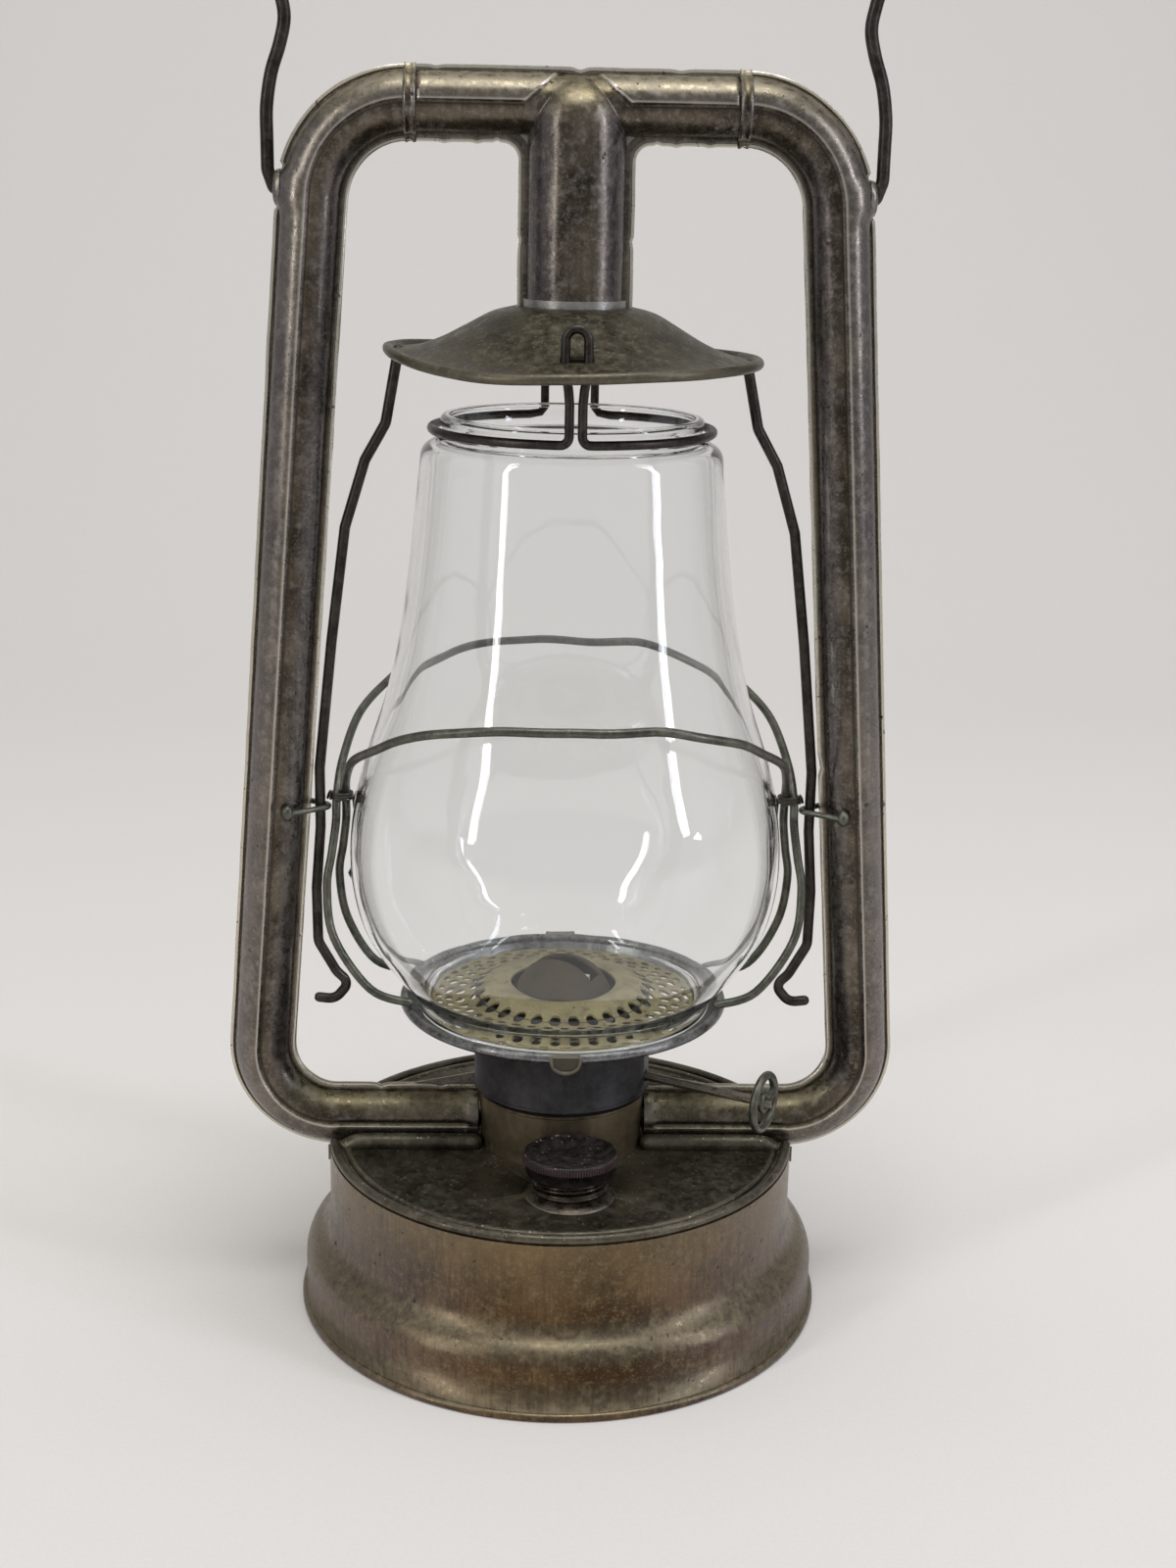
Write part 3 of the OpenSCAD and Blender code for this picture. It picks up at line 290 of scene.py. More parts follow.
# Canopy: smoked by the flame, dust lying on its slope
CANOPY_TIN = aged_metal(
    "tinplate_smoked_canopy", "#453f31", "#231f18", "#8d8674", rough=(0.3, 0.5), metal=0.8,
    patch=11, light_share=0.32, dust="#5f573f", dust_share=0.2, rust="#4a321d", rust_share=0.8, relief=0.1,
    lint=0.25)
# Rim of the globe plate: tinned, with a silvery gloss left
BRIGHT_TIN = aged_metal(
    "tinned_rim_silvery", "#7d7b7c", "#4f4d4c", "#b5b5b8", rough=(0.22, 0.38), metal=0.95,
    patch=9, dust="#807a66", dust_share=0.2, rust="#5f503e", rust_share=0.2)
# Solder band: dull, with dirt and rust over it
SOLDER = aged_metal(
    "solder_patchy_dull", "#74716d", "#37312a", "#b4b2ae", rough=(0.24, 0.45),
    patch=4.5, dust="#6c6654", dust_share=0.3, rust="#38291d", rust_share=1.0, relief=0.15)
# Upper collar: blue-grey lacquer worn thin
COLLAR_BLUE = aged_metal(
    "lacquered_collar_blue_grey", "#333033", "#242224", "#4f4c4f", rough=(0.34, 0.5), metal=0.6,
    patch=11, light_share=0.25, dust="#4f4b42", dust_share=0.2, rust="#3a2c20", relief=0.04,
    wear=0.3)
# Lower collar: bare tinplate gone brown, half gloss
COLLAR_BROWN = aged_metal(
    "tinplate_collar_brown", "#675a44", "#43382a", "#8d8069", rough=(0.3, 0.48),
    patch=9, light_share=0.4, dust="#75694f", dust_share=0.3, rust="#46301f", rust_share=0.4)
# Screw cap: black-brown steel, its top thick with dust
CAP_STEEL = aged_metal(
    "steel_cap_black_brown", "#30282a", "#1c1817", "#5a4c48", rough=(0.34, 0.55), metal=0.75,
    patch=5, light_share=0.35, dust="#56524c", dust_share=0.3, rust="#4c3026", rust_share=0.4, relief=0.1,
    lint=0.9)
# Neck and shaft: brown steel, rubbed bright on crests
BROWN_STEEL = aged_metal(
    "steel_brown_worn", "#3f342b", "#1c1713", "#8f867a", rough=(0.2, 0.36), metal=0.9,
    patch=5, light_share=0.3, dust="#5c5345", dust_share=0.2, rust="#4a2c20", relief=0.04,
    wear=0.8)
# Draft plate: pale yellow-brown, nearly covered with dust
DRAFT_BRASS = aged_metal(
    "draft_plate_dusty_brass", "#908360", "#665a41", "#aa9f80", rough=(0.5, 0.75), metal=0.35,
    patch=7, light_share=0.45, dust="#8b8164", dust_share=0.5, rust="#4a3b28", rust_share=0.4, relief=0.08,
    wear=0.3, lint=0.6)
# Dome: spun brass burnt matt brown by the flame
DOME_BRASS = aged_metal(
    "burner_dome_heat_browned", "#2f1f06", "#1d1405", "#463314", rough=(0.7, 0.9), metal=0.1,
    patch=6, light_share=0.4, dust="#3d3018", dust_share=0.4, rust="#2b2015", relief=0.08,
    wear=0.2)
# Rest of the burner: stamped brass, dull yellow
BURNER_BRASS = aged_metal(
    "burner_brass_dull", "#8a7650", "#5f5138", "#a8946a", rough=(0.35, 0.55),
    patch=6, light_share=0.4, dust="#8a8068", dust_share=0.3, rust="#4a3423", relief=0.04)
# Drawn steel wire: the rails, ring and bail are nearly black
BLACK_WIRE = aged_metal(
    "steel_wire_blackened", "#393531", "#231f1c", "#66605a", rough=(0.28, 0.46),
    patch=8, light_share=0.4, dust="#544f44", dust_share=0.15, rust="#453226", rust_share=0.4, relief=0.06)
# Galvanised wire: the guard and the staples keep a green-grey skin
GREY_WIRE = aged_metal(
    "galvanised_wire_greenish", "#5c5c52", "#3b3b35", "#8c8b80", rough=(0.28, 0.46),
    patch=7, light_share=0.45, dust="#6c6a5b", dust_share=0.15, rust="#4f4233", relief=0.06)


def glass_material():
    """Pressed soda-lime glass: clear, smooth and slightly uneven, with only a trace of green."""
    made, tree = new_material("globe_glass_clear_green")
    place = add(tree, "TexCoord").outputs["Object"]
    # Slow waves left by the mould, about 18 mm apart
    wave = add(tree, "TexNoise", inputs={
        "Vector": place, "Scale": per_mm(18), "Detail": 1.0, "Roughness": 0.4}).outputs["Fac"]
    bump = add(tree, "Bump", inputs={
        "Strength": 0.5, "Distance": 0.35 * MM, "Height": wave}).outputs["Normal"]
    shader = add(tree, "BsdfPrincipled", inputs={
        "Base Color": colour("#fcfdfd"), "Roughness": 0.015, "IOR": 1.5,
        "Transmission Weight": 1.0, "Normal": bump})
    clear = add(tree, "BsdfTransparent", inputs={"Color": colour("#f7fbf8")})
    lamp_ray = add(tree, "LightPath").outputs["Is Shadow Ray"]
    mixed = add(tree, "MixShader", inputs={0: lamp_ray, 1: shader.outputs[0], 2: clear.outputs[0]})
    add(tree, "OutputMaterial", inputs={"Surface": mixed.outputs[0]})
    return made


def soft_material(name, base, dark, thread, rough):
    """Felted or woven stuff with a visible thread."""
    made, tree = new_material(name)
    place = add(tree, "TexCoord").outputs["Object"]
    weave = add(tree, "TexWave", {"bands_direction": "Z"}, {
        "Vector": place, "Scale": per_mm(thread) / 6.28, "Distortion": 1.5, "Detail": 2.0}).outputs["Fac"]
    tone = add(tree, "Mix", {"data_type": "RGBA"}, {0: weave, 6: colour(dark), 7: colour(base)}).outputs[2]
    bump = add(tree, "Bump", inputs={
        "Strength": 0.6, "Distance": 0.1 * MM, "Height": weave}).outputs["Normal"]
    shader = add(tree, "BsdfPrincipled", inputs={"Base Color": tone, "Roughness": rough, "Normal": bump})
    add(tree, "OutputMaterial", inputs={"Surface": shader.outputs[0]})
    return made


GLOBE_GLASS = glass_material()
# Sealing disc: pressed fibre, matt brown
CORK = soft_material("fibre_gasket", "#6b553d", "#4c3b2a", 0.6, 0.9)
# Wick: woven cotton, unburnt and pale
COTTON = soft_material("cotton_wick", "#d8cfb8", "#a79c84", 0.8, 0.95)


# Mesh tools

def placed(name, data):
    """New object in the scene."""
    made = bpy.data.objects.new(name, data)
    bpy.context.scene.collection.objects.link(made)
    return made


def applied(holder):
    """Plain mesh of an object with its modifiers."""
    bpy.context.view_layer.update()
    return bpy.data.meshes.new_from_object(holder.evaluated_get(bpy.context.evaluated_depsgraph_get()))


def finish_piece(mesh, name, material, body, nodes, sharp=35.0):
    """Turns a finished mesh in metres into a piece that stands for CAD nodes."""
    mesh.materials.clear()
    mesh.materials.append(material)
    mesh.shade_smooth()
    mesh.set_sharp_from_angle(angle=math.radians(sharp))
    piece = placed(name, mesh)
    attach(piece, body)
    if nodes:
        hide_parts(*nodes)


def mesh_of(made, name):
    """Mesh from a working mesh, which is freed."""
    mesh = bpy.data.meshes.new(name)
    made.to_mesh(mesh)
    made.free()
    return mesh


def mesh_from(points, faces, name, merge=0.0, marks=None):
    """Mesh from points in millimetres, with normals turned outwards; marks of wear, painted highlight and
    painted shade go into a point attribute.
    """
    made = bmesh.new()
    layer = made.verts.layers.float.new("wear_and_painted_light")
    verts = [made.verts.new(Vector(p) * MM) for p in points]
    for vert, mark in zip(verts, marks or []):
        vert[layer] = mark
    for face in faces:
        if len(set(face)) > 2:
            try:
                made.faces.new([verts[i] for i in face])
            except ValueError:
                pass
    if merge:
        bmesh.ops.remove_doubles(made, verts=made.verts, dist=merge * MM)
    bmesh.ops.recalc_face_normals(made, faces=made.faces)
    return mesh_of(made, name)


def joined(meshes, name):
    """One mesh from several."""
    made = bmesh.new()
    for mesh in meshes:
        made.from_mesh(mesh)
        bpy.data.meshes.remove(mesh)
    return mesh_of(made, name)


def turned_over(mesh, matrix):
    """Transforms a mesh, and turns its faces back outwards if that mirrored it."""
    mesh.transform(matrix)
    if matrix.determinant() < 0:
        mesh.flip_normals()
    return mesh


MIRROR_X = Matrix.Diagonal((-1, 1, 1, 1))
MIRROR_Y = Matrix.Diagonal((1, -1, 1, 1))
HALF_TURN = Matrix.Rotation(math.pi, 4, "Z")


def both_hands(make, name, material, node, body="frame", sharp=60.0):
    """Piece made for the right-hand side, and its mirror image on the left."""
    for hand in ("left", "right"):
        mesh = make(hand)
        if hand == "left":
            turned_over(mesh, MIRROR_X)
        finish_piece(mesh, hand + name, material, body, [hand + node], sharp)


def grid_faces(rows, columns, closed_rows=False, closed_columns=False, start=0):
    """Quads between points laid in rows and columns."""
    faces = []
    for i in range(rows if closed_rows else rows - 1):
        for k in range(columns if closed_columns else columns - 1):
            a = start + i * columns + k
            b = start + i * columns + (k + 1) % columns
            c = start + ((i + 1) % rows) * columns + (k + 1) % columns
            d = start + ((i + 1) % rows) * columns + k
            faces.append((a, b, c, d))
    return faces


def lathe(profile, steps, name, warp=None, merge=0.0, marks=None):
    """Closed profile of (radius, height) turned about the axis, with a mark for each of its points."""
    points = []
    for i in range(steps):
        a = 2 * math.pi * i / steps
        for r, z in profile:
            p = Vector((r * math.cos(a), r * math.sin(a), z))
            points.append(warp(p) if warp else p)
    faces = grid_faces(steps, len(profile), True, True)
    return mesh_from(points, faces, name, merge, (marks or []) * steps)


def prism(outline, near, far, name, mark=0.0):
    """Sheet with an outline of (x, z), from one y to another."""
    count = len(outline)
    points = [(x, y, z) for y in (near, far) for x, z in outline]
    faces = [tuple(range(count)), tuple(range(2 * count - 1, count - 1, -1))]
    faces += [(i, (i + 1) % count, count + (i + 1) % count, count + i) for i in range(count)]
    return mesh_from(points, faces, name, marks=[mark] * len(points))


def around(radius, degrees, z=0.0):
    """Point on a circle about the axis."""
    return Vector((radius * math.cos(math.radians(degrees)), radius * math.sin(math.radians(degrees)), z))


def across(path):
    """The same points on the other side of the lantern's middle plane."""
    return [Vector((-p[0], p[1], p[2])) for p in path]


def ridge(x, centre, width):
    """Bump of height 1 about a centre."""
    return math.exp(-((x - centre) / width) ** 2)


def unit(v):
    """Vector of length 1."""
    return v.normalized()


def rounded(path, radius, steps=8):
    """Path of straight lines with each corner rounded."""
    path = [Vector(p) for p in path]
    made = [path[0]]
    for before, corner, after in zip(path, path[1:], path[2:]):
        a, b = before - corner, after - corner
        cosine = max(-1.0, min(1.0, unit(a).dot(unit(b))))
        half = math.acos(cosine) / 2
        if half > math.pi / 2 - 0.005:
            made.append(corner)
            continue
        reach = min(radius / math.tan(half), 0.48 * min(a.length, b.length))
        turn = math.pi - 2 * half
        centre = corner + unit(unit(a) + unit(b)) * reach / math.cos(half)
        first = corner + unit(a) * reach - centre
        last = corner + unit(b) * reach - centre
        for k in range(steps + 1):
            t = k / steps
            made.append(centre + (math.sin(turn * (1 - t)) * first
                                  + math.sin(turn * t) * last) / math.sin(turn))
    return made + [path[-1]]


def smooth(path, steps):
    """Smooth curve through every point."""
    path = [Vector(p) for p in path]
    last = len(path) - 1
    made = []
    for i in range(last):
        a, b, c, d = path[max(i - 1, 0)], path[i], path[i + 1], path[min(i + 2, last)]
        for k in range(steps):
            t = k / steps
            made.append(0.5 * (2 * b + (c - a) * t + (2 * a - 5 * b + 4 * c - d) * t * t
                               + (3 * b - a - 3 * c + d) * t * t * t))
    return made + [path[-1]]


def geometry_tree(name, inputs):
    """Geometry tree with named inputs after its geometry, and the node that gives them."""
    tree = bpy.data.node_groups.new(name, "GeometryNodeTree")
    tree.interface.new_socket("Geometry", in_out="INPUT", socket_type="NodeSocketGeometry")
    for label, kind in inputs:
        tree.interface.new_socket(label, in_out="INPUT", socket_type="NodeSocket" + kind)
    tree.interface.new_socket("Geometry", in_out="OUTPUT", socket_type="NodeSocketGeometry")
    return tree, add(tree, "NodeGroupInput").outputs


def finish_tree(tree, geometry, material):
    """Ends a tree with plain geometry in one material."""
    plain = add(tree, "GeometryNodeRealizeInstances", inputs={"Geometry": geometry}).outputs[0]
    coated = add(tree, "GeometryNodeSetMaterial", inputs={"Geometry": plain, "Material": material}).outputs[0]
    add(tree, "NodeGroupOutput", inputs={"Geometry": coated})
    return tree


def grown(mesh, tree, values):
    """Plain mesh that a geometry tree makes from a mesh, with the tree's named inputs set."""
    holder = placed("grow_work", mesh)
    maker = holder.modifiers.new("grow", "NODES")
    maker.node_group = tree
    for item in tree.interface.items_tree:
        if item.in_out == "INPUT" and item.name in values:
            maker[item.identifier] = values[item.name]
    result = applied(holder)
    holder.modifiers.remove(maker)
    bpy.data.objects.remove(holder)
    return result


def wire_tree():
    """Round wire that follows the edges of a mesh; the point attribute thick narrows it."""
    tree, given = geometry_tree("wire_along_path", [
        ("Radius", "Float"), ("Sides", "Int"), ("Material", "Material")])
    curve = add(tree, "GeometryNodeMeshToCurve", inputs={"Mesh": given["Geometry"]}).outputs[0]
    thick = add(tree, "GeometryNodeInputNamedAttribute", {"data_type": "FLOAT"}, {"Name": "thick"}).outputs[0]
    curve = add(tree, "GeometryNodeSetCurveRadius", inputs={"Curve": curve, "Radius": thick}).outputs[0]
    ring = add(tree, "GeometryNodeCurvePrimitiveCircle", inputs={
        "Resolution": given["Sides"], "Radius": given["Radius"]}).outputs[0]
    body = add(tree, "GeometryNodeCurveToMesh", inputs={
        "Curve": curve, "Profile Curve": ring, "Fill Caps": True})
    if "Scale" in body.inputs:
        tree.links.new(thick, body.inputs["Scale"])
    return finish_tree(tree, body.outputs[0], given["Material"])


WIRE = wire_tree()
# Reach and thickness of a wire's domed end, as shares of its radius
DOMED_END = ((0.42, 0.9), (0.72, 0.68), (0.9, 0.4))


def wire(path, radius, name, sides=12, closed=False):
    """Round wire along a path, with domed ends."""
    path = [Vector(p) for p in path]
    thick = [1.0] * len(path)
    if not closed:
        for at, near in ((0, 1), (-1, -2)):
            way = unit(path[at] - path[near]) * radius
            dome = [path[at] + way * reach for reach, share in DOMED_END]
            shares = [share for reach, share in DOMED_END]
            if at:
                path += dome
                thick += shares
            else:
                path = dome[::-1] + path
                thick = shares[::-1] + thick
    line = bpy.data.meshes.new(name)
    count = len(path)
    edges = [(i, i + 1) for i in range(count - 1)] + ([(count - 1, 0)] if closed else [])
    line.from_pydata([p * MM for p in path], edges, [])
    line.attributes.new("thick", "FLOAT", "POINT").data.foreach_set("value", thick)
    made = grown(line, WIRE, {"Radius": radius * MM, "Sides": sides, "Material": BLACK_WIRE})
    bpy.data.meshes.remove(line)
    tidy = bmesh.new()
    tidy.from_mesh(made)
    bmesh.ops.recalc_face_normals(tidy, faces=tidy.faces)
    tidy.to_mesh(made)
    tidy.free()
    made.materials.clear()
    return made


def blob(centre, size, name):
    """Drop of solder: a flattened ball with an uneven skin."""
    rings, steps, lumpy = 8, 14, 0.15
    points = []
    for i in range(rings + 1):
        b = math.pi * i / rings
        for k in range(steps):
            a = 2 * math.pi * k / steps
            p = Vector((math.sin(b) * math.cos(a), math.sin(b) * math.sin(a), math.cos(b)))
            swell = 1 + lumpy * noise.noise(Vector(centre) / 3 + p * 1.3)
            points.append(Vector(centre) + Vector((p.x * size[0], p.y * size[1], p.z * size[2])) * swell)
    return mesh_from(points, grid_faces(rings + 1, steps, False, True), name, merge=0.001)


def step(x, low, high):
    """Smooth step from 0 to 1."""
    t = max(0.0, min(1.0, (x - low) / (high - low)))
    return t * t * (3 - 2 * t)


def copy_of(node, name, material, body, sharp=32.0, warp=None, more=()):
    """Copy of a CAD node, merged so that its curves shade smoothly, with more meshes joined to it."""
    made = bmesh.new()
    made.from_mesh(frame["nodes"][node].data)
    bmesh.ops.remove_doubles(made, verts=made.verts, dist=0.004 * MM)
    if warp:
        for vert in made.verts:
            vert.co = warp(vert.co / MM) * MM
    for mesh in more:
        made.from_mesh(mesh)
        bpy.data.meshes.remove(mesh)
    finish_piece(mesh_of(made, name), name, material, body, [node], sharp)


# Camera and light

def camera():
    """The photo's camera: its focal length is 2133 of the photo's pixels, its height 1600 of them."""
    place = (-0.0131, -0.5588, 0.3144)
    yaw, pitch, roll = math.radians(1.96), math.radians(16), math.radians(1.14)
    data = bpy.data.cameras.new("camera")
    data.sensor_width = 36.0
    data.lens = 36.0 * 2133 / 1600
    data.clip_start = 0.01
    holder = placed("camera", data)
    forward = Vector((math.sin(yaw) * math.cos(pitch), math.cos(yaw) * math.cos(pitch), -math.sin(pitch)))
    right = Vector((math.cos(yaw), -math.sin(yaw), 0))
    upward = right.cross(forward)
    turned = math.cos(roll) * right + math.sin(roll) * upward
    upward = turned.cross(forward)
    holder.matrix_world = Matrix.Translation(place) @ Matrix((turned, upward, -forward)).transposed().to_4x4()
    bpy.context.scene.camera = holder


def lamp(name, place, target, size, power, tint="#ffffff"):
    """Area lamp aimed at a point."""
    data = bpy.data.lights.new(name, "AREA")
    data.shape = "RECTANGLE"
    data.size, data.size_y = size
    data.energy = power
    data.color = colour(tint)[:3]
    holder = placed(name, data)
    holder.location = place
    holder.rotation_mode = "QUATERNION"
    holder.rotation_quaternion = (Vector(target) - Vector(place)).to_track_quat("-Z", "Y")


def stage():
    """Pale floor that curves up into a backdrop."""
    back, half, bend = 1.6, 6.0, 0.9
    profile = [(-5.0, 0.0), (back - bend, 0.0)]
    for k in range(1, 17):
        a = math.pi / 2 * k / 16
        profile.append((back - bend + bend * math.sin(a), bend - bend * math.cos(a)))
    profile.append((back, 5.0))
    points = [(x * 1000, y * 1000, z * 1000) for y, z in profile for x in (-half, half)]
    faces = [(2 * i, 2 * i + 1, 2 * i + 3, 2 * i + 2) for i in range(len(profile) - 1)]
    mesh = mesh_from(points, faces, "backdrop")
    mesh.shade_smooth()
    made, tree = new_material("backdrop_paper")
    place = add(tree, "TexCoord").outputs["Object"]
    fleck = add(tree, "TexNoise", inputs={"Vector": place, "Scale": 900.0, "Detail": 2.0}).outputs["Fac"]
    tone = add(tree, "Mix", {"data_type": "RGBA"}, {
        0: fleck, 6: colour("#dedad5"), 7: colour("#e6e2dd")}).outputs[2]
    shader = add(tree, "BsdfPrincipled", inputs={"Base Color": tone, "Roughness": 0.9})
    add(tree, "OutputMaterial", inputs={"Surface": shader.outputs[0]})
    mesh.materials.append(made)
    placed("backdrop", mesh)


def world():
    """Even, slightly cool light from all round."""
    made = bpy.data.worlds.new("room")
    made.use_nodes = True
    tree = made.node_tree
    tree.nodes.clear()
    glow = add(tree, "Background", inputs={"Color": colour("#e1e3e8"), "Strength": 0.52})
    add(tree, "OutputWorld", inputs={"Surface": glow.outputs[0]})
    bpy.context.scene.world = made


camera()
stage()
world()
lamp("window_left", (-1.1, -0.9, 0.8), (0, 0, 0.25), (0.1, 1.3), 5.5, "#fbfaf8")
lamp("window_right", (1.15, -0.55, 0.8), (0, 0, 0.25), (0.1, 1.3), 5.5, "#eef2ff")
lamp("ceiling", (0.1, -0.3, 1.6), (0, 0, 0.1), (0.9, 0.5), 9)
lamp("backdrop_wash", (0.0, 0.3, 2.2), (0, 1.6, 0.5), (2.4, 0.6), 9)
bpy.context.scene.view_settings.view_transform = "Standard"


# Frame tubes

def tube_path():
    """Points (x, z) and outward directions along the right-hand arm, side tube and crown bend."""
    side = Vector((-math.sin(LEAN), math.cos(LEAN)))
    corner = Vector((CORNER_X, ARM_Z))
    made = []

    def put(point, heading):
        """Adds a point with the direction to its right."""
        made.append((Vector(point), Vector((heading[1], -heading[0]))))

    arm_end = CORNER_X - BOTTOM_TANGENT
    start = COLLAR_R + 0.1
    for k in range(30):
        put((start + (arm_end - start) * k / 30, ARM_Z), (1, 0))
    centre = Vector((arm_end, ARM_Z + BOTTOM_BEND))
    turn = math.pi / 2 + LEAN
    for k in range(30):
        a = turn * k / 30
        put(centre + BOTTOM_BEND * Vector((math.sin(a), -math.cos(a))), (math.cos(a), math.sin(a)))
    low = corner + side * BOTTOM_TANGENT
    high = corner + side * (SIDE_LENGTH - TOP_TANGENT)
    for k in range(110):
        put(low + (high - low) * k / 110, side)
    inward = Vector((-side[1], side[0]))
    centre = high + inward * TOP_BEND
    turn = math.pi / 2 - LEAN
    for k in range(33):
        a = turn * k / 32
        heading = math.cos(a) * side + math.sin(a) * inward
        put(centre + TOP_BEND * Vector((heading[1], -heading[0])), heading)
    return made


RAISED_END = 3.6
BOSS_HALF = 5.6
BOSS_H = 1.2
SEAM_FOLD = 0.5


def tube_half(crimps, seed, name):
    """Front half of the right-hand tube: one stamping with its two seam flanges.

    crimps holds (x, z, side, width, depth): places where a flange is nicked, side 1 outer and -1 inner."""
    path = tube_path()
    arc = 64
    points, marks = [], []
    for centre, out in path:
        place = Vector((centre.x, 0, centre.y))
        near = {1: 0.0, -1: 0.0}
        for cx, cz, side, width, depth in crimps:
            away = math.hypot(centre.x + out.x * side * 9 - cx, centre.y + out.y * side * 9 - cz)
            near[side] += depth * math.exp(-(away / width) ** 2)
        # The outer seam stops at the bail's boss, which swells out of the wall
        off_pivot = abs(centre.y + out.y * 8 - PIVOT_Z) if out.x > 0.5 else 99
        boss = BOSS_H * (1 - step(off_pivot, BOSS_HALF - 2.2, BOSS_HALF + 0.6))
        near[1] = max(near[1], (SEAM_W - STEP_H - 0.1) * (1 - step(off_pivot, BOSS_HALF - 0.6, BOSS_HALF)))
        width = {}
        for side in (1, -1):
            ripple = 0.14 * noise.noise(Vector((seed + side, centre.x / 11, centre.y / 11)))
            width[side] = max(0.35, SEAM_W - 0.1 + ripple - near[side])
        on_arm = centre.y < ARM_Z + 1
        end_band = (1 - step(centre.x - COLLAR_R, RAISED_END - 0.5, RAISED_END + 0.5)) if on_arm else 0
        fold = SEAM_T / 2
        outer = TUBE_R + width[1]
        profile = [(outer, 0.12), (outer + 0.02, fold + SEAM_FOLD * 0.6), (outer - 0.25, fold + SEAM_FOLD),
                   (outer - 0.75, fold + SEAM_FOLD * 0.8), (outer - 0.95, fold)]
        marks += [0.4, 0.75, 0.9, 0.9, 0.5]
        for k in range(arc + 1):
            a = 0.115 + (math.pi - 0.2) * k / arc
            along = TUBE_R * math.cos(a)
            lifted = max(step(along, STEP_SIDE - STEP_SHARP, STEP_SIDE + STEP_SHARP), end_band)
            groove = 0.28 * math.exp(-((along - STEP_SIDE + 0.75) / 0.45) ** 2) * (1 - end_band)
            r = TUBE_R + STEP_H * 1.2 * lifted - groove
            r += boss * max(0.0, math.cos(a)) ** 1.5
            spot = place + Vector((out.x, 0, out.y)) * along
            r += 0.16 * noise.noise(spot / 15 + Vector((seed, 0, 0))) * math.sin(a)
            profile.append((r * math.cos(a), max(fold, r * math.sin(a))))
            # Painted highlight along the step's crest and the raised end band, painted shade in the groove
            # below the step and at the flanges' roots; the raised lobe is painted lighter than the rest
            edge = 0.55 * ridge(along, STEP_SIDE + 0.35, 0.35) - 0.8 * ridge(along, STEP_SIDE - 0.7, 0.45)
            edge += 0.6 * ridge(centre.x - COLLAR_R, RAISED_END, 0.5) * on_arm
            marks.append(edge + (0.2 if lifted > 0.5 else -0.12) if 1 < k < arc - 1 else -0.8)
        inner = TUBE_R + width[-1]
        profile += [(-inner + 0.95, fold), (-inner + 0.75, fold + SEAM_FOLD * 0.8),
                    (-inner + 0.25, fold + SEAM_FOLD), (-inner - 0.02, fold + SEAM_FOLD * 0.6),
                    (-inner, 0.12)]
        for k in range(13):
            a = math.pi - math.pi * k / 12
            profile.append(((TUBE_R - SHEET) * math.cos(a), max(0.1, (TUBE_R - SHEET) * math.sin(a))))
        marks += [0.5, 0.9, 0.9, 0.75, 0.4] + [0.0] * 13
        for u, v in profile:
            points.append(place + Vector((out.x, 0, out.y)) * u + Vector((0, -v, 0)))
    columns = len(points) // len(path)
    faces = grid_faces(len(path), columns, False, True)
    faces.append(tuple(range(columns))[::-1])
    faces.append(tuple(len(points) - columns + k for k in range(columns)))
    return mesh_from(points, faces, name, marks=marks)


def gusset():
    """Corner sheet that rises from the arm to the upper collar, on the back stamping."""
    foot = ARM_Z + TUBE_R + SEAM_W
    outline = [(COLLAR_R + 0.1, foot - 0.6), (CHAMBER_R + 18, foot - 0.6), (CHAMBER_R + 17, foot + 0.1),
               (CHAMBER_R + 9, foot + 1.6), (CHAMBER_R + 0.8, foot + 3.2), (COLLAR_R + 0.1, foot + 3.2)]
    return prism(outline, 0.05, 0.65, "gusset")


LEFT_CRIMPS = [(96.0, 196, 1, 1.6, 1.1), (71.0, 196, -1, 1.6, 1.2), (66.5, 71, -1, 1.5, 1.2),
               (52.0, 64, -1, 1.3, 1.1), (35.0, 64, -1, 1.2, 0.9), (84.0, 280, 1, 1.4, 0.8)]
RIGHT_CRIMPS = [(92.0, 182, 1, 1.6, 1.1), (70.5, 160, -1, 1.5, 0.9), (60.0, 66, -1, 1.4, 1.0),
                (40.0, 64, -1, 1.2, 0.9), (67.0, 268, -1, 1.5, 1.0)]

# Nicks of each side tube, and the seeds of the ripples in its two stampings
TUBES = {"left": (LEFT_CRIMPS, 1.0, 9.0), "right": (RIGHT_CRIMPS, 5.0, 13.0)}

for hand, (crimps, front_seed, back_seed) in TUBES.items():
    over = MIRROR_X if hand == "left" else Matrix.Identity(4)
    front = turned_over(tube_half(crimps, front_seed, "front"), over)
    back = turned_over(tube_half(crimps, back_seed, "back"), MIRROR_Y)
    back = turned_over(joined([back, gusset()], "back"), over)
    for face, mesh in (("front", front), ("back", back)):
        tube = hand + "_tube_" + face
        finish_piece(mesh, tube + "_stamping", TINPLATE, "frame", [tube], 30)


# Crown

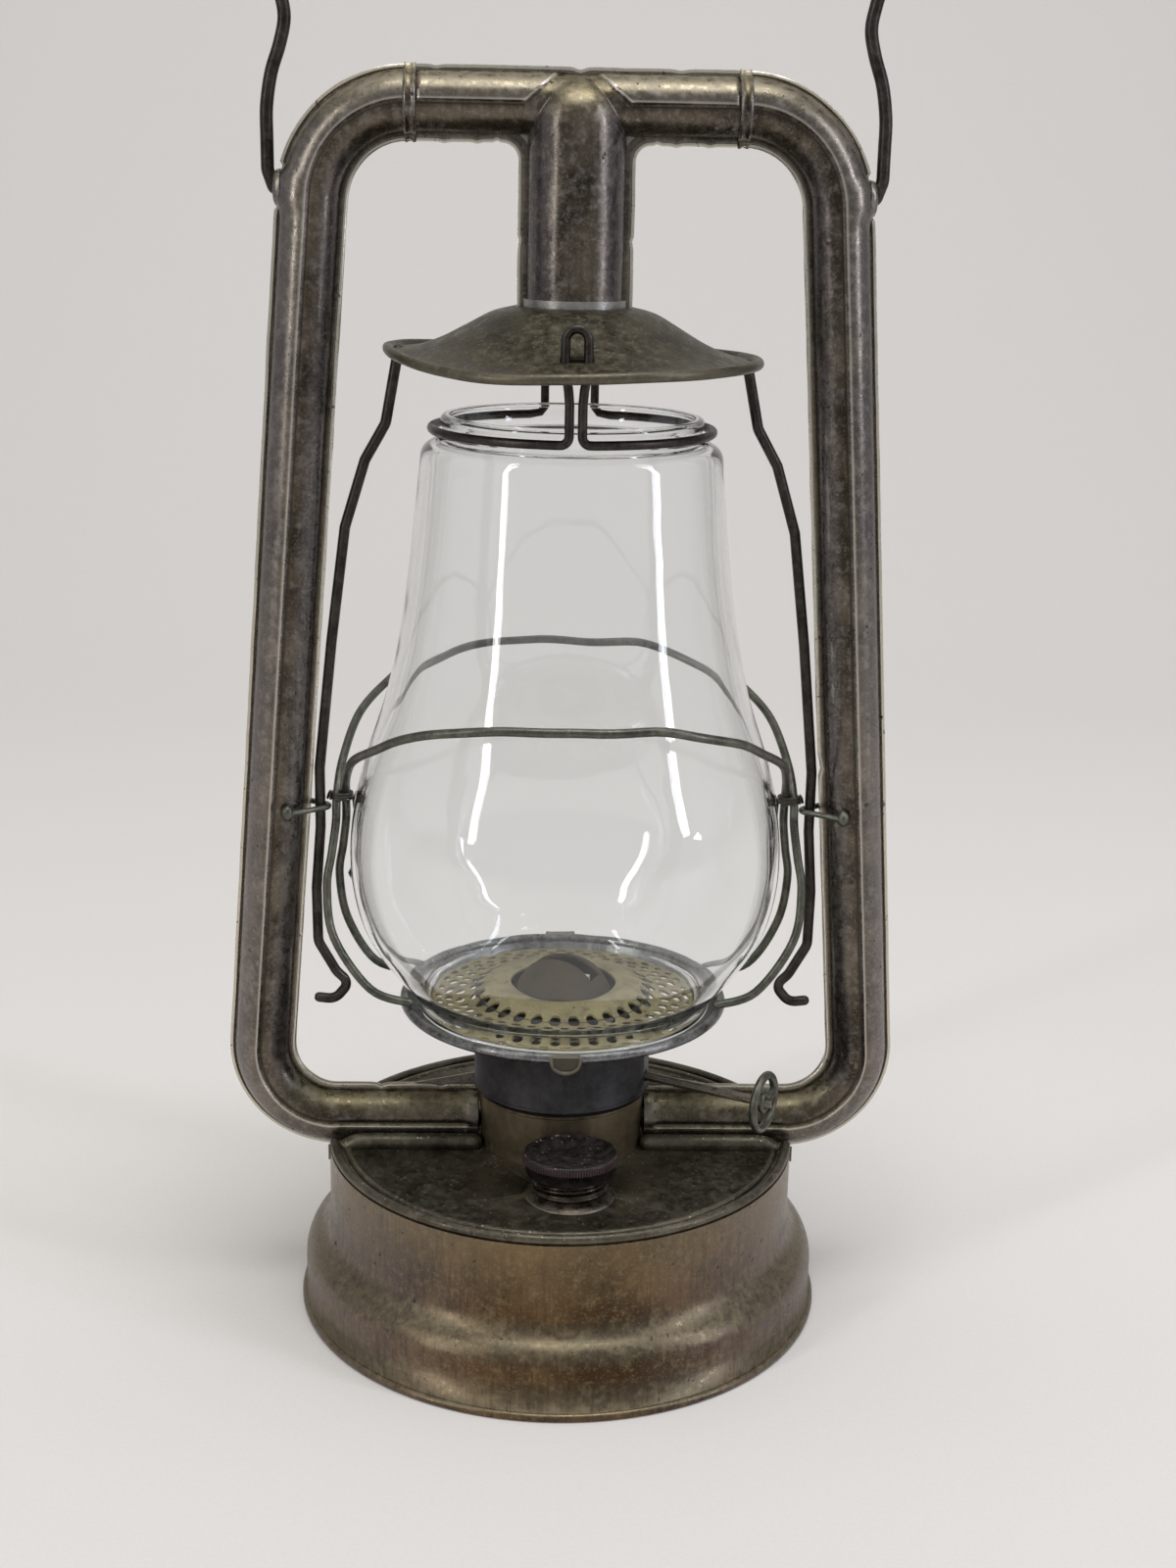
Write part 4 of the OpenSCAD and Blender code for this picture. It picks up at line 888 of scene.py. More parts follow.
def crown_half():
    """Front stamping of the crown: the round head of the chimney runs into the cross tube."""
    head = TOP_Z - 5.6
    # The stamping's wall starts at this angle from its seam
    rim_angle = 0.085

    def dome(z):
        """Half width of the chimney's head at a height."""
        return CHIMNEY_R if z < head else math.sqrt(max(0.0, CHIMNEY_R ** 2 - (z - head) ** 2))

    # Angle on the tube, from its top, at which the chimney's head first stands proud
    first = next(a for a in [math.radians(d / 10) for d in range(0, 1800)]
                 if dome(TOP_Z + TUBE_R * math.cos(a)) > TUBE_R * math.sin(a))
    above, below, sections = 10, 64, 72
    angles = [rim_angle + (first - rim_angle) * k / above for k in range(above)]
    angles += [first + (math.pi - rim_angle - first) * k / below for k in range(below + 1)]
    points, faces, marks = [], [], []
    for a in angles:
        v, z = TUBE_R * math.sin(a), TOP_Z + TUBE_R * math.cos(a)
        clip = math.sqrt(max(0.0, dome(z) ** 2 - v * v)) if a > first else 0.0
        for k in range(sections + 1):
            x = clip + (TEE_HALF - clip) * k / sections
            u = TUBE_R * math.cos(a)
            diagonal = 13.4 - 1.25 * max(0.0, u - STEP_SIDE)
            lifted = step(u, STEP_SIDE - STEP_SHARP, STEP_SIDE + STEP_SHARP)
            lifted *= step(x - diagonal, -0.1, 0.7) * step(TEE_HALF - 2.2 - x, -0.4, 0.4)
            groove = math.exp(-((u - STEP_SIDE + 0.75) / 0.45) ** 2) * step(x - diagonal, -0.5, 0.3)
            r = TUBE_R + STEP_H * 1.2 * lifted - 0.28 * groove
            r += 0.14 * noise.noise(Vector((x / 13, a * 0.6, 3.3))) * math.sin(a) * step(x - clip, 0, 3)
            # Soft hollow where the tube meets the chimney
            r += 0.24 * math.exp(-((x - clip) / 1.5) ** 2) * math.sin(a) * (1 if clip > 0 else 0)
            points.append((x, -max(0.6, r * math.sin(a)), TOP_Z + r * math.cos(a)))
            # Painted highlight along the step's crest and the diagonal edge; painted shade in the groove,
            # beside the diagonal and where the tube meets the chimney; the raised panel is painted lighter
            # than the rest
            rim = ridge(u, STEP_SIDE + 0.35, 0.35) * step(x - diagonal, -0.5, 0.3)
            rim += ridge(x, diagonal + 0.5, 0.5) * step(u, STEP_SIDE, STEP_SIDE + 0.5)
            shade = 0.8 * groove + 0.6 * ridge(x, diagonal - 0.5, 0.45) * step(u, STEP_SIDE - 0.6, STEP_SIDE)
            shade += 0.35 * ridge(x, clip, 1.0)
            marks.append(0.55 * min(rim, 1.0) - shade + 0.3 * lifted - 0.12)
    faces += grid_faces(len(angles), sections + 1)
    columns = below + 1
    start = len(points)
    rows = 46
    for i in range(rows + 1):
        t = i / rows
        for j in range(columns):
            a = angles[above + j]
            v, z = TUBE_R * math.sin(a), TOP_Z + TUBE_R * math.cos(a)
            clip = math.sqrt(max(0.0, dome(z) ** 2 - v * v))
            turn = math.pi / 2 if j == 0 else math.atan2(v, clip)
            height = CHIMNEY_BOTTOM + t * (z - CHIMNEY_BOTTOM)
            r = dome(height)
            if i < rows:
                r += 0.16 * noise.noise(Vector((turn * 1.3, height / 12, 8.1))) * math.sin(turn)
                points.append((r * math.cos(turn), -max(0.6, r * math.sin(turn)), height))
            else:
                points.append(points[(above + j) * (sections + 1)])
            marks.append(0.0)
    faces += grid_faces(rows + 1, columns, start=start)
    shell = mesh_from(points, faces, "quarter", merge=0.02, marks=marks)
    other = turned_over(shell.copy(), MIRROR_X)
    half = joined([shell, other], "half")
    made = bmesh.new()
    made.from_mesh(half)
    bpy.data.meshes.remove(half)
    bmesh.ops.remove_doubles(made, verts=made.verts, dist=0.02 * MM)
    bmesh.ops.recalc_face_normals(made, faces=made.faces)
    front = min(made.faces, key=lambda f: f.calc_center_median().y)
    if front.normal.y > 0:
        bmesh.ops.reverse_faces(made, faces=made.faces)
    holder = placed("crown_work", mesh_of(made, "half"))
    thick = holder.modifiers.new("sheet", "SOLIDIFY")
    thick.thickness = 0.6 * MM
    thick.offset = -1
    solid = applied(holder)
    bpy.data.objects.remove(holder)
    return solid


def crown_flange():
    """Folded seam round the crown's stamping, nicked where the press held it."""
    wide = CHIMNEY_R + SEAM_W + 0.4
    corner = 4.0
    under = TOP_Z - TUBE_R - SEAM_W
    upper = TOP_Z + TUBE_R + SEAM_W

    def strip(path, out, deep=3.4):
        """Strip of flange along a path, from the tube's wall to its folded edge."""
        points = []
        for p, n in zip(path, out):
            ripple = 0.12 * noise.noise(Vector((p[0] / 9, p[1] / 9, 2.2)))
            tip = Vector(p) + Vector(n) * ripple
            root = tip - Vector(n) * deep
            for q, v in ((root, 0.02), (tip, 0.02), (tip, 0.75), (tip - Vector(n) * 0.35, 0.9),
                         (tip - Vector(n) * 0.85, 0.82), (tip - Vector(n) * 1.0, 0.6), (root, 0.6)):
                points.append((q[0], -v, q[1]))
        count = len(path)
        faces = grid_faces(count, 7, False, True)
        faces += [tuple(range(7))[::-1], tuple(7 * (count - 1) + k for k in range(7))]
        # Folded edge marked bright as worn; the root, where the strip meets the tube's wall, gets painted
        # shade
        return mesh_from(points, faces, "strip", marks=[-0.4, 0.6, 0.9, 0.9, 0.85, 0.4, -0.8] * count)

    def nick(x, places):
        """Depth of the nicks there, each given by its place, width and depth."""
        return sum(d * math.exp(-((x - c) / w) ** 2) for c, w, d in places)

    top = []
    for k in range(121):
        x = -TEE_HALF + 2 * TEE_HALF * k / 120
        top.append((x, upper - nick(x, [(0.5, 1.5, 0.7), (-36, 1.2, 0.4), (26, 1.6, 0.35)])))
    parts = [strip(top, [(0, 1)] * len(top))]
    for s in (-1, 1):
        path, out = [], []
        for k in range(41):
            x = TEE_HALF - (TEE_HALF - wide - corner) * k / 40
            tabs = nick(x, [(34, 1.2, -0.35), (25.5, 1.0, -0.4), (20.5, 0.6, 0.5)])
            path.append((s * x, under + tabs))
            out.append((0, -1))
        for k in range(1, 12):
            a = math.pi / 2 * k / 12
            path.append((s * (wide + corner - corner * math.sin(a)),
                         under - corner + corner * math.cos(a)))
            out.append((s * math.sin(a), -math.cos(a)))
        for k in range(31):
            z = under - corner - (under - corner - CHIMNEY_BOTTOM - 0.2) * k / 30
            path.append((s * (wide - nick(z, [(300, 0.8, 0.5)])), z))
            out.append((s, 0))
        parts.append(strip(path, out))
        heart = (s * (CHIMNEY_R - 1.5), under + 3.5)
        corner_path, corner_out = path[36:56], out[36:56]
        web = []
        for (x, z), (nx, nz) in zip(corner_path, corner_out):
            web += [(x - nx, -0.05, z - nz), (x - nx, -0.5, z - nz),
                    (heart[0], -0.5, heart[1]), (heart[0], -0.05, heart[1])]
        faces = grid_faces(len(corner_path), 4, False, True)
        faces += [(0, 3, 2, 1), tuple(4 * (len(corner_path) - 1) + k for k in range(4))]
        # Outer edge of the web marked bright, its heart in the corner painted shade
        parts.append(mesh_from(web, faces, "web", marks=[0.5, 0.5, -0.5, -0.5] * len(corner_path)))
    return joined(parts, "flange")


for side, over in (("front", Matrix.Identity(4)), ("back", MIRROR_Y)):
    stamping = turned_over(joined([crown_half(), crown_flange()], "crown"), over)
    finish_piece(stamping, "crown_" + side + "_stamping", TINPLATE, "frame",
                 ["crown_" + side], 38)


def band(hand):
    """Band crimped over the joint at the end of the cross tube: two rounded ribs."""
    half = BAND_W / 2
    inside = TUBE_R + STEP_H + JOINT_GAP
    ribs = [(-half, 0.08), (-half + 0.2, 0.3), (-half + 0.6, 0.45), (-half + 1.05, 0.25), (0, 0.12)]
    ribs += [(-x, h) for x, h in ribs[-2::-1]]
    steps = 96
    points = []
    for i in range(steps):
        a = 2 * math.pi * i / steps
        # The band rides over the seam flanges at the top and the bottom
        crest = max(abs(math.cos(a)) - 0.985, 0) / 0.015
        lift = (SEAM_W - STEP_H - 0.15) * step(crest, 0.0, 0.8)
        for x, h in ribs:
            r = inside + lift + h
            points.append((TEE_HALF + x, -r * math.sin(a), TOP_Z + r * math.cos(a)))
        for x in (half, -half):
            r = inside + lift
            points.append((TEE_HALF + x, -r * math.sin(a), TOP_Z + r * math.cos(a)))
    return mesh_from(points, grid_faces(steps, len(ribs) + 2, True, True), "band")


both_hands(band, "_crimped_band", TINPLATE, "_band", sharp=40)


def lowest(node):
    """Height of a CAD node's lowest point, in millimetres."""
    return min(v.co.z for v in frame["nodes"][node].data.vertices) / MM


# The solder keeps to the lower part of its band
SOLDER_SHARE = 0.65
BAND_LOW = lowest("chimney_band")
copy_of("chimney_band", "chimney_solder_band", SOLDER, "frame",
        warp=lambda p: Vector((p.x, p.y, BAND_LOW + (p.z - BAND_LOW) * SOLDER_SHARE)))


def eyelet(hand):
    """Crimped eyelet on the tube's shoulder, which the bail's end is hooked through."""
    bore = BAIL_R + 0.35
    profile = [(bore, -1.2), (bore, 0.5), (bore + 0.35, 0.95), (bore + 1.0, 1.0), (bore + 1.7, 0.6),
               (bore + 2.2, -0.1), (bore + 2.4, -1.2)]
    mesh = lathe(profile, 48, "eyelet")
    stretched = Matrix.Diagonal((1.1, 0.95, 0.85, 1))
    place = Matrix.Translation(Vector((BAIL_HALF - BAIL_R - 1.35, 0, PIVOT_Z)) * MM)
    return turned_over(mesh, place @ Matrix.Rotation(math.radians(90), 4, "Y") @ stretched)


both_hands(eyelet, "_bail_eyelet", TINPLATE, "_bail_ear", sharp=50)


# Canopy

def canopy_warp(p):
    """The canopy is bent with use: its left end stands up and its front left sags."""
    r = math.hypot(p.x, p.y)
    share = max(0.0, (r - 18) / (CANOPY_R - 18))
    a = math.atan2(p.y, p.x)
    left = max(0.0, -math.cos(a)) ** 3
    right = max(0.0, math.cos(a)) ** 3
    dip = math.exp(-((a + math.radians(118)) / 0.55) ** 2)
    lift = 2.6 * left + 0.3 * right - 1.7 * dip
    ripple = 0.25 * noise.noise(p / 17) * share
    return p + Vector((0, 0, (lift * share ** 1.6) + ripple))


def canopy_outline():
    """Bell from the neck to the rim: round at the top, nearly flat at the rim."""
    neck_r, neck_z = CHIMNEY_R + 3.4, RIM_Z + CANOPY_RISE
    rim_r = CANOPY_R - CANOPY_BEAD
    return smooth([
        (neck_r, neck_z, 0), (neck_r + 5.5, neck_z - 1.5, 0), (neck_r + 12, neck_z - 5.2, 0),
        (neck_r + 19, neck_z - 9.3, 0), (neck_r + 26, neck_z - 12.2, 0), (rim_r, RIM_Z, 0)], 6)


def canopy():
    """Bent canopy: thin sheet from the chimney to its rolled rim."""
    neck_z = RIM_Z + CANOPY_RISE
    rim_r = CANOPY_R - CANOPY_BEAD
    outline = canopy_outline()
    inner_r = CHIMNEY_R + JOINT_GAP
    upper = [(inner_r, neck_z)] + [(p.x, p.y) for p in outline if p.x < rim_r - 1.2]
    bead = []
    for k in range(15):
        a = math.radians(150 - 20 * k)
        bead.append((rim_r + CANOPY_BEAD * math.cos(a), RIM_Z + CANOPY_BEAD * math.sin(a)))
    lower = [(p.x, p.y - 0.6) for p in outline if p.x < rim_r - 1.6][::-1] + [(inner_r, neck_z - 0.6)]
    # Painted highlight along the rolled bead, painted shade over the underside
    marks = [0.0] * len(upper) + [0.3 * math.sin(math.pi * k / 14) for k in range(15)] + [-0.5] * len(lower)
    return lathe(upper + bead + lower, 160, "canopy", canopy_warp, marks=marks)


def cut(mesh, boxes):
    """Cuts boxes given by two corners in millimetres out of a mesh."""
    holder = placed("cut_work", mesh)
    for low, high in boxes:
        made = bmesh.new()
        bmesh.ops.create_cube(made, size=1)
        size = [(b - a) * MM for a, b in zip(low, high)]
        middle = [(a + b) / 2 * MM for a, b in zip(low, high)]
        made.transform(Matrix.Translation(middle) @ Matrix.Diagonal((*size, 1)))
        tool = placed("tool", mesh_of(made, "tool"))
        hole = holder.modifiers.new("hole", "BOOLEAN")
        hole.operation = "DIFFERENCE"
        hole.solver = "EXACT"
        hole.object = tool
        result = applied(holder)
        holder.modifiers.clear()
        holder.data = result
        bpy.data.objects.remove(tool)
    result = holder.data
    bpy.data.objects.remove(holder)
    return result


RING_WIRE = 1.2
RING_R = LIP_R + RING_WIRE + 1.1
RING_Z = GLOBE_Z + GLOBE_H - 3.6
FRONT_LEG = 1.65
SPREAD = 1.2
REAR_LEG = 7.0
REAR_Y = math.sqrt(RING_R ** 2 - REAR_LEG ** 2)
LEG_ROOM = RING_WIRE + 0.5
SLOT_HALF = FRONT_LEG + SPREAD + 1.4

slots = [((-SLOT_HALF, -RING_R - 1.4, RIM_Z - 4), (SLOT_HALF, -RING_R + 1.4, RIM_Z + 20))]
for s in (-1, 1):
    slots.append(((s * REAR_LEG - LEG_ROOM, REAR_Y - LEG_ROOM, RIM_Z - 4),
                  (s * REAR_LEG + LEG_ROOM, REAR_Y + LEG_ROOM, RIM_Z + 20)))


def box(low, high, name, mark=0.0):
    """Block between two corners in millimetres."""
    points = [(x, y, z) for z in (low[2], high[2]) for y in (low[1], high[1]) for x in (low[0], high[0])]
    faces = [(0, 2, 3, 1), (4, 5, 7, 6), (0, 1, 5, 4), (2, 6, 7, 3), (0, 4, 6, 2), (1, 3, 7, 5)]
    return mesh_from(points, faces, name, marks=[mark] * 8)


# Lip turned down behind the front slot, marked fully dark: a painted shadow that fills the slot
lip = box((-SLOT_HALF, -RING_R + 1.5, RIM_Z - 2.4), (SLOT_HALF, -RING_R + 2.0, RIM_Z + 3.0), "lip", -1.0)
finish_piece(joined([cut(canopy(), slots), lip], "canopy"), "canopy_sheet", CANOPY_TIN, "frame",
             ["canopy"], 40)


# Wires

RAIL_R = 1.45
RAIL_X = 68.3
STAPLE_WIRE = 0.8


def rail(hand):
    """Rail wire: down from the canopy's rim, through its staple, to a curled foot."""
    span = RIM_Z - GUIDE_Z
    rim_x = CANOPY_R - CANOPY_BEAD
    rim = canopy_warp(Vector((-rim_x if hand == "left" else rim_x, 0, RIM_Z)))
    rise = rim.z - RIM_Z
    points = [
        (rim_x - 2.6, 0, RIM_Z - 0.6 + rise), (rim_x - 2.2, 0, RIM_Z - 3 + rise),
        (CANOPY_R - 0.6, 0, RIM_Z - 0.14 * span),
        (CANOPY_R + 5, 0, RIM_Z - 0.22 * span),
        (CANOPY_R + 10.5, 0, RIM_Z - 0.366 * span),
        (CANOPY_R + 14.5, 0, RIM_Z - 0.618 * span),
        (RAIL_X, 0, GUIDE_Z + 11), (RAIL_X, 0, GUIDE_Z - 6),
        (RAIL_X + 1.4, 0, GUIDE_Z - 24), (RAIL_X + 1.2, 0, GUIDE_Z - 40),
        (RAIL_X - 3.8, 0, GUIDE_Z - 49), (RAIL_X - 7.4, 0, GUIDE_Z - 52.5),
        (RAIL_X - 3.4, 0, GUIDE_Z - 57.5), (RAIL_X + 1.2, 0, GUIDE_Z - 57),
    ]
    return wire(rounded(points, 5), RAIL_R, "rail")


both_hands(rail, "_rail_wire", BLACK_WIRE, "_rail")


def guide(hand):
    """Staple that a rail runs through, with its two drops of solder on the side tube."""
    eye = RAIL_R + STAPLE_WIRE + 2 * JOINT_GAP
    seat = TUBE_R + STEP_H + JOINT_GAP + 1.6
    splay = math.radians(60)
    foot = (tube_x(GUIDE_Z) - seat * math.cos(splay), seat * math.sin(splay), GUIDE_Z)
    arc = [(RAIL_X + eye * math.cos(math.radians(a)), eye * math.sin(math.radians(a)), GUIDE_Z)
           for a in range(100, 261, 10)]
    line = rounded([foot] + arc + [(foot[0], -foot[1], GUIDE_Z)], 1)
    parts = [wire(line, STAPLE_WIRE, "staple", sides=10)]
    for s in (-1, 1):
        parts.append(blob((foot[0] + 0.9, s * (foot[1] - 0.7), GUIDE_Z), (1.9, 2.1, 2.3), "drop"))
    return joined(parts, "guide")


both_hands(guide, "_guide_staple", GREY_WIRE, "_guide_loop")


def bail_path():
    """Bail from hook to hook: upright shanks, waved shoulders and a round arch."""
    arch = BAIL_H - 47.35
    shank = BAIL_HALF - 0.9
    right = [(shank + 0.1, 13), (shank, 20), (shank - 1.3, 28), (shank - 3.6, 35), (shank - 4.9, 41.5),
             (shank - 3.8, 48), (shank - 2.0, 56)]
    right = [Vector((x, 0, PIVOT_Z + z)) for x, z in right]
    for a in range(20, 85, 11):
        r = math.radians(a)
        right.append(Vector(((shank - 1.6) * math.cos(r), 0, PIVOT_Z + 47 + arch * math.sin(r))))
    right.append(Vector((0, 0, PIVOT_Z + 47 + arch)))
    line = smooth(right + across(right[-2::-1]), 5)
    hook = rounded([(BAIL_HALF - 3.8, 0, PIVOT_Z - 0.2), (BAIL_HALF - 2.4, 0, PIVOT_Z),
                    (shank + 0.1, 0, PIVOT_Z + 4.5), (shank + 0.1, 0, PIVOT_Z + 12.5)], 5, 7)
    return hook + line + across(hook[::-1])


finish_piece(wire(bail_path(), BAIL_R, "bail", sides=14), "bail_wire", BLACK_WIRE, "bail",
             ["bail"], 60)

HOOP_WIRE = 1.2
CROSS_X = 62.4
CROSS_Z = GUIDE_Z + 3.2
HOOP_FOOT_Y = 13.0
HOOP_FOOT_X = math.sqrt((PLATE_R - PLATE_BEAD) ** 2 - HOOP_FOOT_Y ** 2)


def hoop(x):
    """Guard hoop that crosses the other one at x: from the plate's rim, over the globe, and back."""
    reach = 56
    half = [
        (HOOP_FOOT_X, HOOP_FOOT_Y, PLATE_RIM_Z + PLATE_BEAD + HOOP_WIRE + JOINT_GAP),
        (HOOP_FOOT_X + 11, 11.4, PLATE_RIM_Z + 6), (x + 0.6, 8.4, PLATE_RIM_Z + 20),
        (x + 2.6, 6, PLATE_RIM_Z + 34), (x + 1.3, 4, GUIDE_Z - 12.5), (x + 0.2, 2, GUIDE_Z - 4),
        (x, 0, CROSS_Z), (x - 1, -8.5, CROSS_Z + 8), (x - 4.4, -25, CROSS_Z + 17),
        (x - 11.4, -37, CROSS_Z + 23.3), (x - 19.4, reach * -0.8, HOOP_TOP_Z - 5),
        (x - 37.4, reach * -0.955, HOOP_TOP_Z - 0.6), (0, -reach, HOOP_TOP_Z),
    ]
    return smooth(half + across(half[-2::-1]), 7)


def hoop_bend(path):
    """Slight waves over the crest of the hoop, none where it is tied or soldered."""
    made = []
    for p in path:
        high = step(p.z, CROSS_Z + 8, CROSS_Z + 20)
        wave = noise.noise(Vector((p.x / 15, 0, 4.0 if p.y < 0 else 9.0)))
        made.append(p + Vector((0, 0, 0.7 * high * wave)))
    return made


for name, line in (("front", hoop(CROSS_X - HOOP_WIRE - JOINT_GAP)),
                   ("rear", [HALF_TURN @ p for p in hoop(CROSS_X + HOOP_WIRE + JOINT_GAP)])):
    finish_piece(wire(hoop_bend(line), HOOP_WIRE, name), name + "_hoop_wire", GREY_WIRE, "cradle",
                 [name + "_hoop"], 60)


def tie(hand):
    """Fine wire wound three times round the two hoops where they cross, its end twisted down."""
    coil_r, turns, climb = 3.0, 3, 2.2
    line = []
    for k in range(turns * 20 + 1):
        a = 2 * math.pi * k / 20
        z = CROSS_Z - 1.1 + climb * k / (turns * 20)
        line.append(Vector((CROSS_X + coil_r * math.cos(a), coil_r * math.sin(a), z)))
    line += [line[-1] + Vector((0.5, 0.6, -0.9)), line[-1] + Vector((0.9, 0.9, -2.2))]
    return wire(line, 0.4, "tie", sides=8)


both_hands(tie, "_crossing_tie", BLACK_WIRE, "_tie", body="cradle")


def ring_path():
    """Ring's wire: arched hairpin in front, round the neck of the globe, square hairpin behind."""
    top, foot = RIM_Z + 10.4, 2.2
    wide = FRONT_LEG + SPREAD
    line = [Vector((wide * math.sin(math.radians(a)), -RING_R, top - wide + wide * math.cos(math.radians(a))))
            for a in range(0, 91, 15)]
    line += [Vector((wide, -RING_R, RIM_Z + 0.6)), Vector((wide - 0.5, -RING_R, RIM_Z - 2.2)),
             Vector((FRONT_LEG + 0.3, -RING_R, RIM_Z - 4.6)), Vector((FRONT_LEG, -RING_R, RIM_Z - 8))]
    line += [Vector((FRONT_LEG + foot - foot * math.cos(math.radians(a)), -RING_R,
                     RING_Z + foot - foot * math.sin(math.radians(a)))) for a in range(0, 76, 15)]
    line += [around(RING_R, a, RING_Z) for a in range(-83, 75, 5)]
    line += rounded([
        (REAR_LEG + 1.4, REAR_Y - 0.5, RING_Z + 0.5), (REAR_LEG, REAR_Y, RING_Z + 2.4),
        (REAR_LEG, REAR_Y, RIM_Z + 9), (REAR_LEG - 2.4, REAR_Y, RIM_Z + 11), (0, REAR_Y, RIM_Z + 11)], 2.2)
    return line + across(line[-2:0:-1])


finish_piece(wire(ring_path(), RING_WIRE, "ring", closed=True), "globe_ring_wire", BLACK_WIRE, "globe_ring",
             ["globe_ring"], 60)


# Globe

# Small bosses on the neck, by angle and height above the foot
NUBS = [(-178, 150.5), (-178, 128), (-128, 152), (-2, 150.5), (-52, 152)]


def globe():
    """Pressed globe: a thick foot, a round belly and a rolled lip."""
    outline = smooth([
        (FOOT_R, 0, 0), (FOOT_R + 0.6, 3.4, 0), (BELLY_R - 9.6, 13.6, 0), (BELLY_R - 2.4, 27, 0),
        (BELLY_R, 45, 0), (BELLY_R - 3.3, 68, 0), (BELLY_R - 10.7, 91, 0), (BELLY_R - 15.8, GLOBE_H - 47, 0),
        (SHOULDER_R + 0.9, GLOBE_H - 17, 0), (SHOULDER_R, GLOBE_H - 9.4, 0),
        (SHOULDER_R - 3, GLOBE_H - 6.6, 0), (LIP_R - 0.6, GLOBE_H - 5.4, 0), (LIP_R, GLOBE_H - 1.2, 0),
        (LIP_R - 0.8, GLOBE_H, 0)], 8)
    last = len(outline) - 1
    inner = []
    for i in range(last, -1, -1):
        t = unit(outline[min(i + 1, last)] - outline[max(i - 1, 0)])
        drop = 0 if i in (0, last) else GLASS * 0.6 * t.x
        thick = GLASS + 1.2 * (1 - step(outline[i].y, 4, 10))
        inner.append((outline[i].x - thick * max(t.y, 0.55), outline[i].y + drop))
    profile = [(p.x, p.y + GLOBE_Z) for p in outline] + [(r, z + GLOBE_Z) for r, z in inner]
    outer_count = len(outline)

    steps = 144
    points = []
    for i in range(steps):
        a = 2 * math.pi * i / steps
        for j, (r, z) in enumerate(profile):
            grow = 0.0
            if j < outer_count:
                for nub_a, nub_z in NUBS:
                    turn = (math.degrees(a) - nub_a + 180) % 360 - 180
                    away = math.hypot(math.radians(turn) * r, z - nub_z)
                    grow += 1.1 * math.exp(-(away / 1.7) ** 2)
            uneven = noise.noise(Vector((math.cos(a), math.sin(a), z / 40)))
            grow += 0.12 * uneven * step(z, GLOBE_Z + 6, GLOBE_Z + 20)
            r2 = r + grow
            points.append((r2 * math.cos(a), r2 * math.sin(a), z))
    return mesh_from(points, grid_faces(steps, len(profile), True, True), "globe")


finish_piece(globe(), "globe_glass", GLOBE_GLASS, "cradle", ["globe"], 60)


# Fount and collars

SHOULDER_BEAD = 2.6
SEAM_BEAD = 0.4


def fount_sag(p):
    """The fount's top has settled towards the rear."""
    return p - Vector((0, 0, REAR_SAG * step(p.y, 0, 70) * step(p.z, 20, 46)))


def arm_shoulders():
    """Rounded shoulders that the fount top forms along both sides of each arm."""
    made = []
    for side in (-1, 1):
        for over in (-1, 1):
            y = over * (TUBE_R + 1.95)
            line = [(side * x, y, FOUNT_H + z) for x, z in (
                (COLLAR_R + 1.2, 1.3), (40, 1.3), (55, 1.3), (59.5, 0.6), (61.8, -1.2))]
            made.append(wire(smooth(line, 6), SHOULDER_BEAD, "shoulder", sides=24))
    return made


copy_of("fount_body", "fount_wall", FOUNT_TIN, "frame", warp=fount_sag)
copy_of("fount_top", "fount_top_sheet", DARK_TIN, "frame", 35, fount_sag, arm_shoulders())
copy_of("fount_bottom", "fount_bottom_pan", FOUNT_TIN, "frame")
copy_of("lower_collar", "lower_collar_sheet", COLLAR_BROWN, "frame")
copy_of("air_chamber", "upper_collar_sheet", COLLAR_BLUE, "frame")

# Thin bead under the seam between the collars
bead_z = lowest("air_chamber") - 1.2
bead = wire([around(COLLAR_R - 0.1, a, bead_z) for a in range(0, 360, 4)], SEAM_BEAD, "rib", closed=True)
finish_piece(bead, "lower_collar_rib", COLLAR_BROWN, "frame", [], 60)
copy_of("cap_gasket", "cap_sealing_disc", CORK, "cap_gasket")
copy_of("globe_plate", "globe_plate_rim", BRIGHT_TIN, "cradle")


# Plate and burner

def hole_tree():
    """Ring of oval holes cut through a sheet."""
    tree, given = geometry_tree("holes_in_ring", [
        ("Count", "Int"), ("Circle", "Float"), ("Oval", "Vector"), ("Turn", "Vector"), ("Middle", "Vector"),
        ("Material", "Material")])
    ring = add(tree, "GeometryNodeMeshCircle", inputs={
        "Vertices": given["Count"], "Radius": given["Circle"]}).outputs[0]
    rod = add(tree, "GeometryNodeMeshCylinder", inputs={
        "Vertices": 14, "Radius": 1.0, "Depth": 2.0}).outputs["Mesh"]
    outward = add(tree, "FunctionNodeAlignRotationToVector", {"axis": "X"}, {
        "Vector": add(tree, "GeometryNodeInputPosition").outputs[0]}).outputs[0]
    rods = add(tree, "GeometryNodeInstanceOnPoints", inputs={
        "Points": ring, "Instance": rod, "Rotation": outward, "Scale": given["Oval"]}).outputs[0]
    rods = add(tree, "GeometryNodeTransform", inputs={
        "Geometry": rods, "Translation": given["Middle"], "Rotation": given["Turn"]}).outputs[0]
    rods = add(tree, "GeometryNodeRealizeInstances", inputs={"Geometry": rods}).outputs[0]
    cut_through = add(tree, "GeometryNodeMeshBoolean", {"operation": "DIFFERENCE", "solver": "MANIFOLD"}, {
        "Mesh 1": given["Geometry"], "Mesh 2": rods}).outputs[0]
    return finish_tree(tree, cut_through, given["Material"])


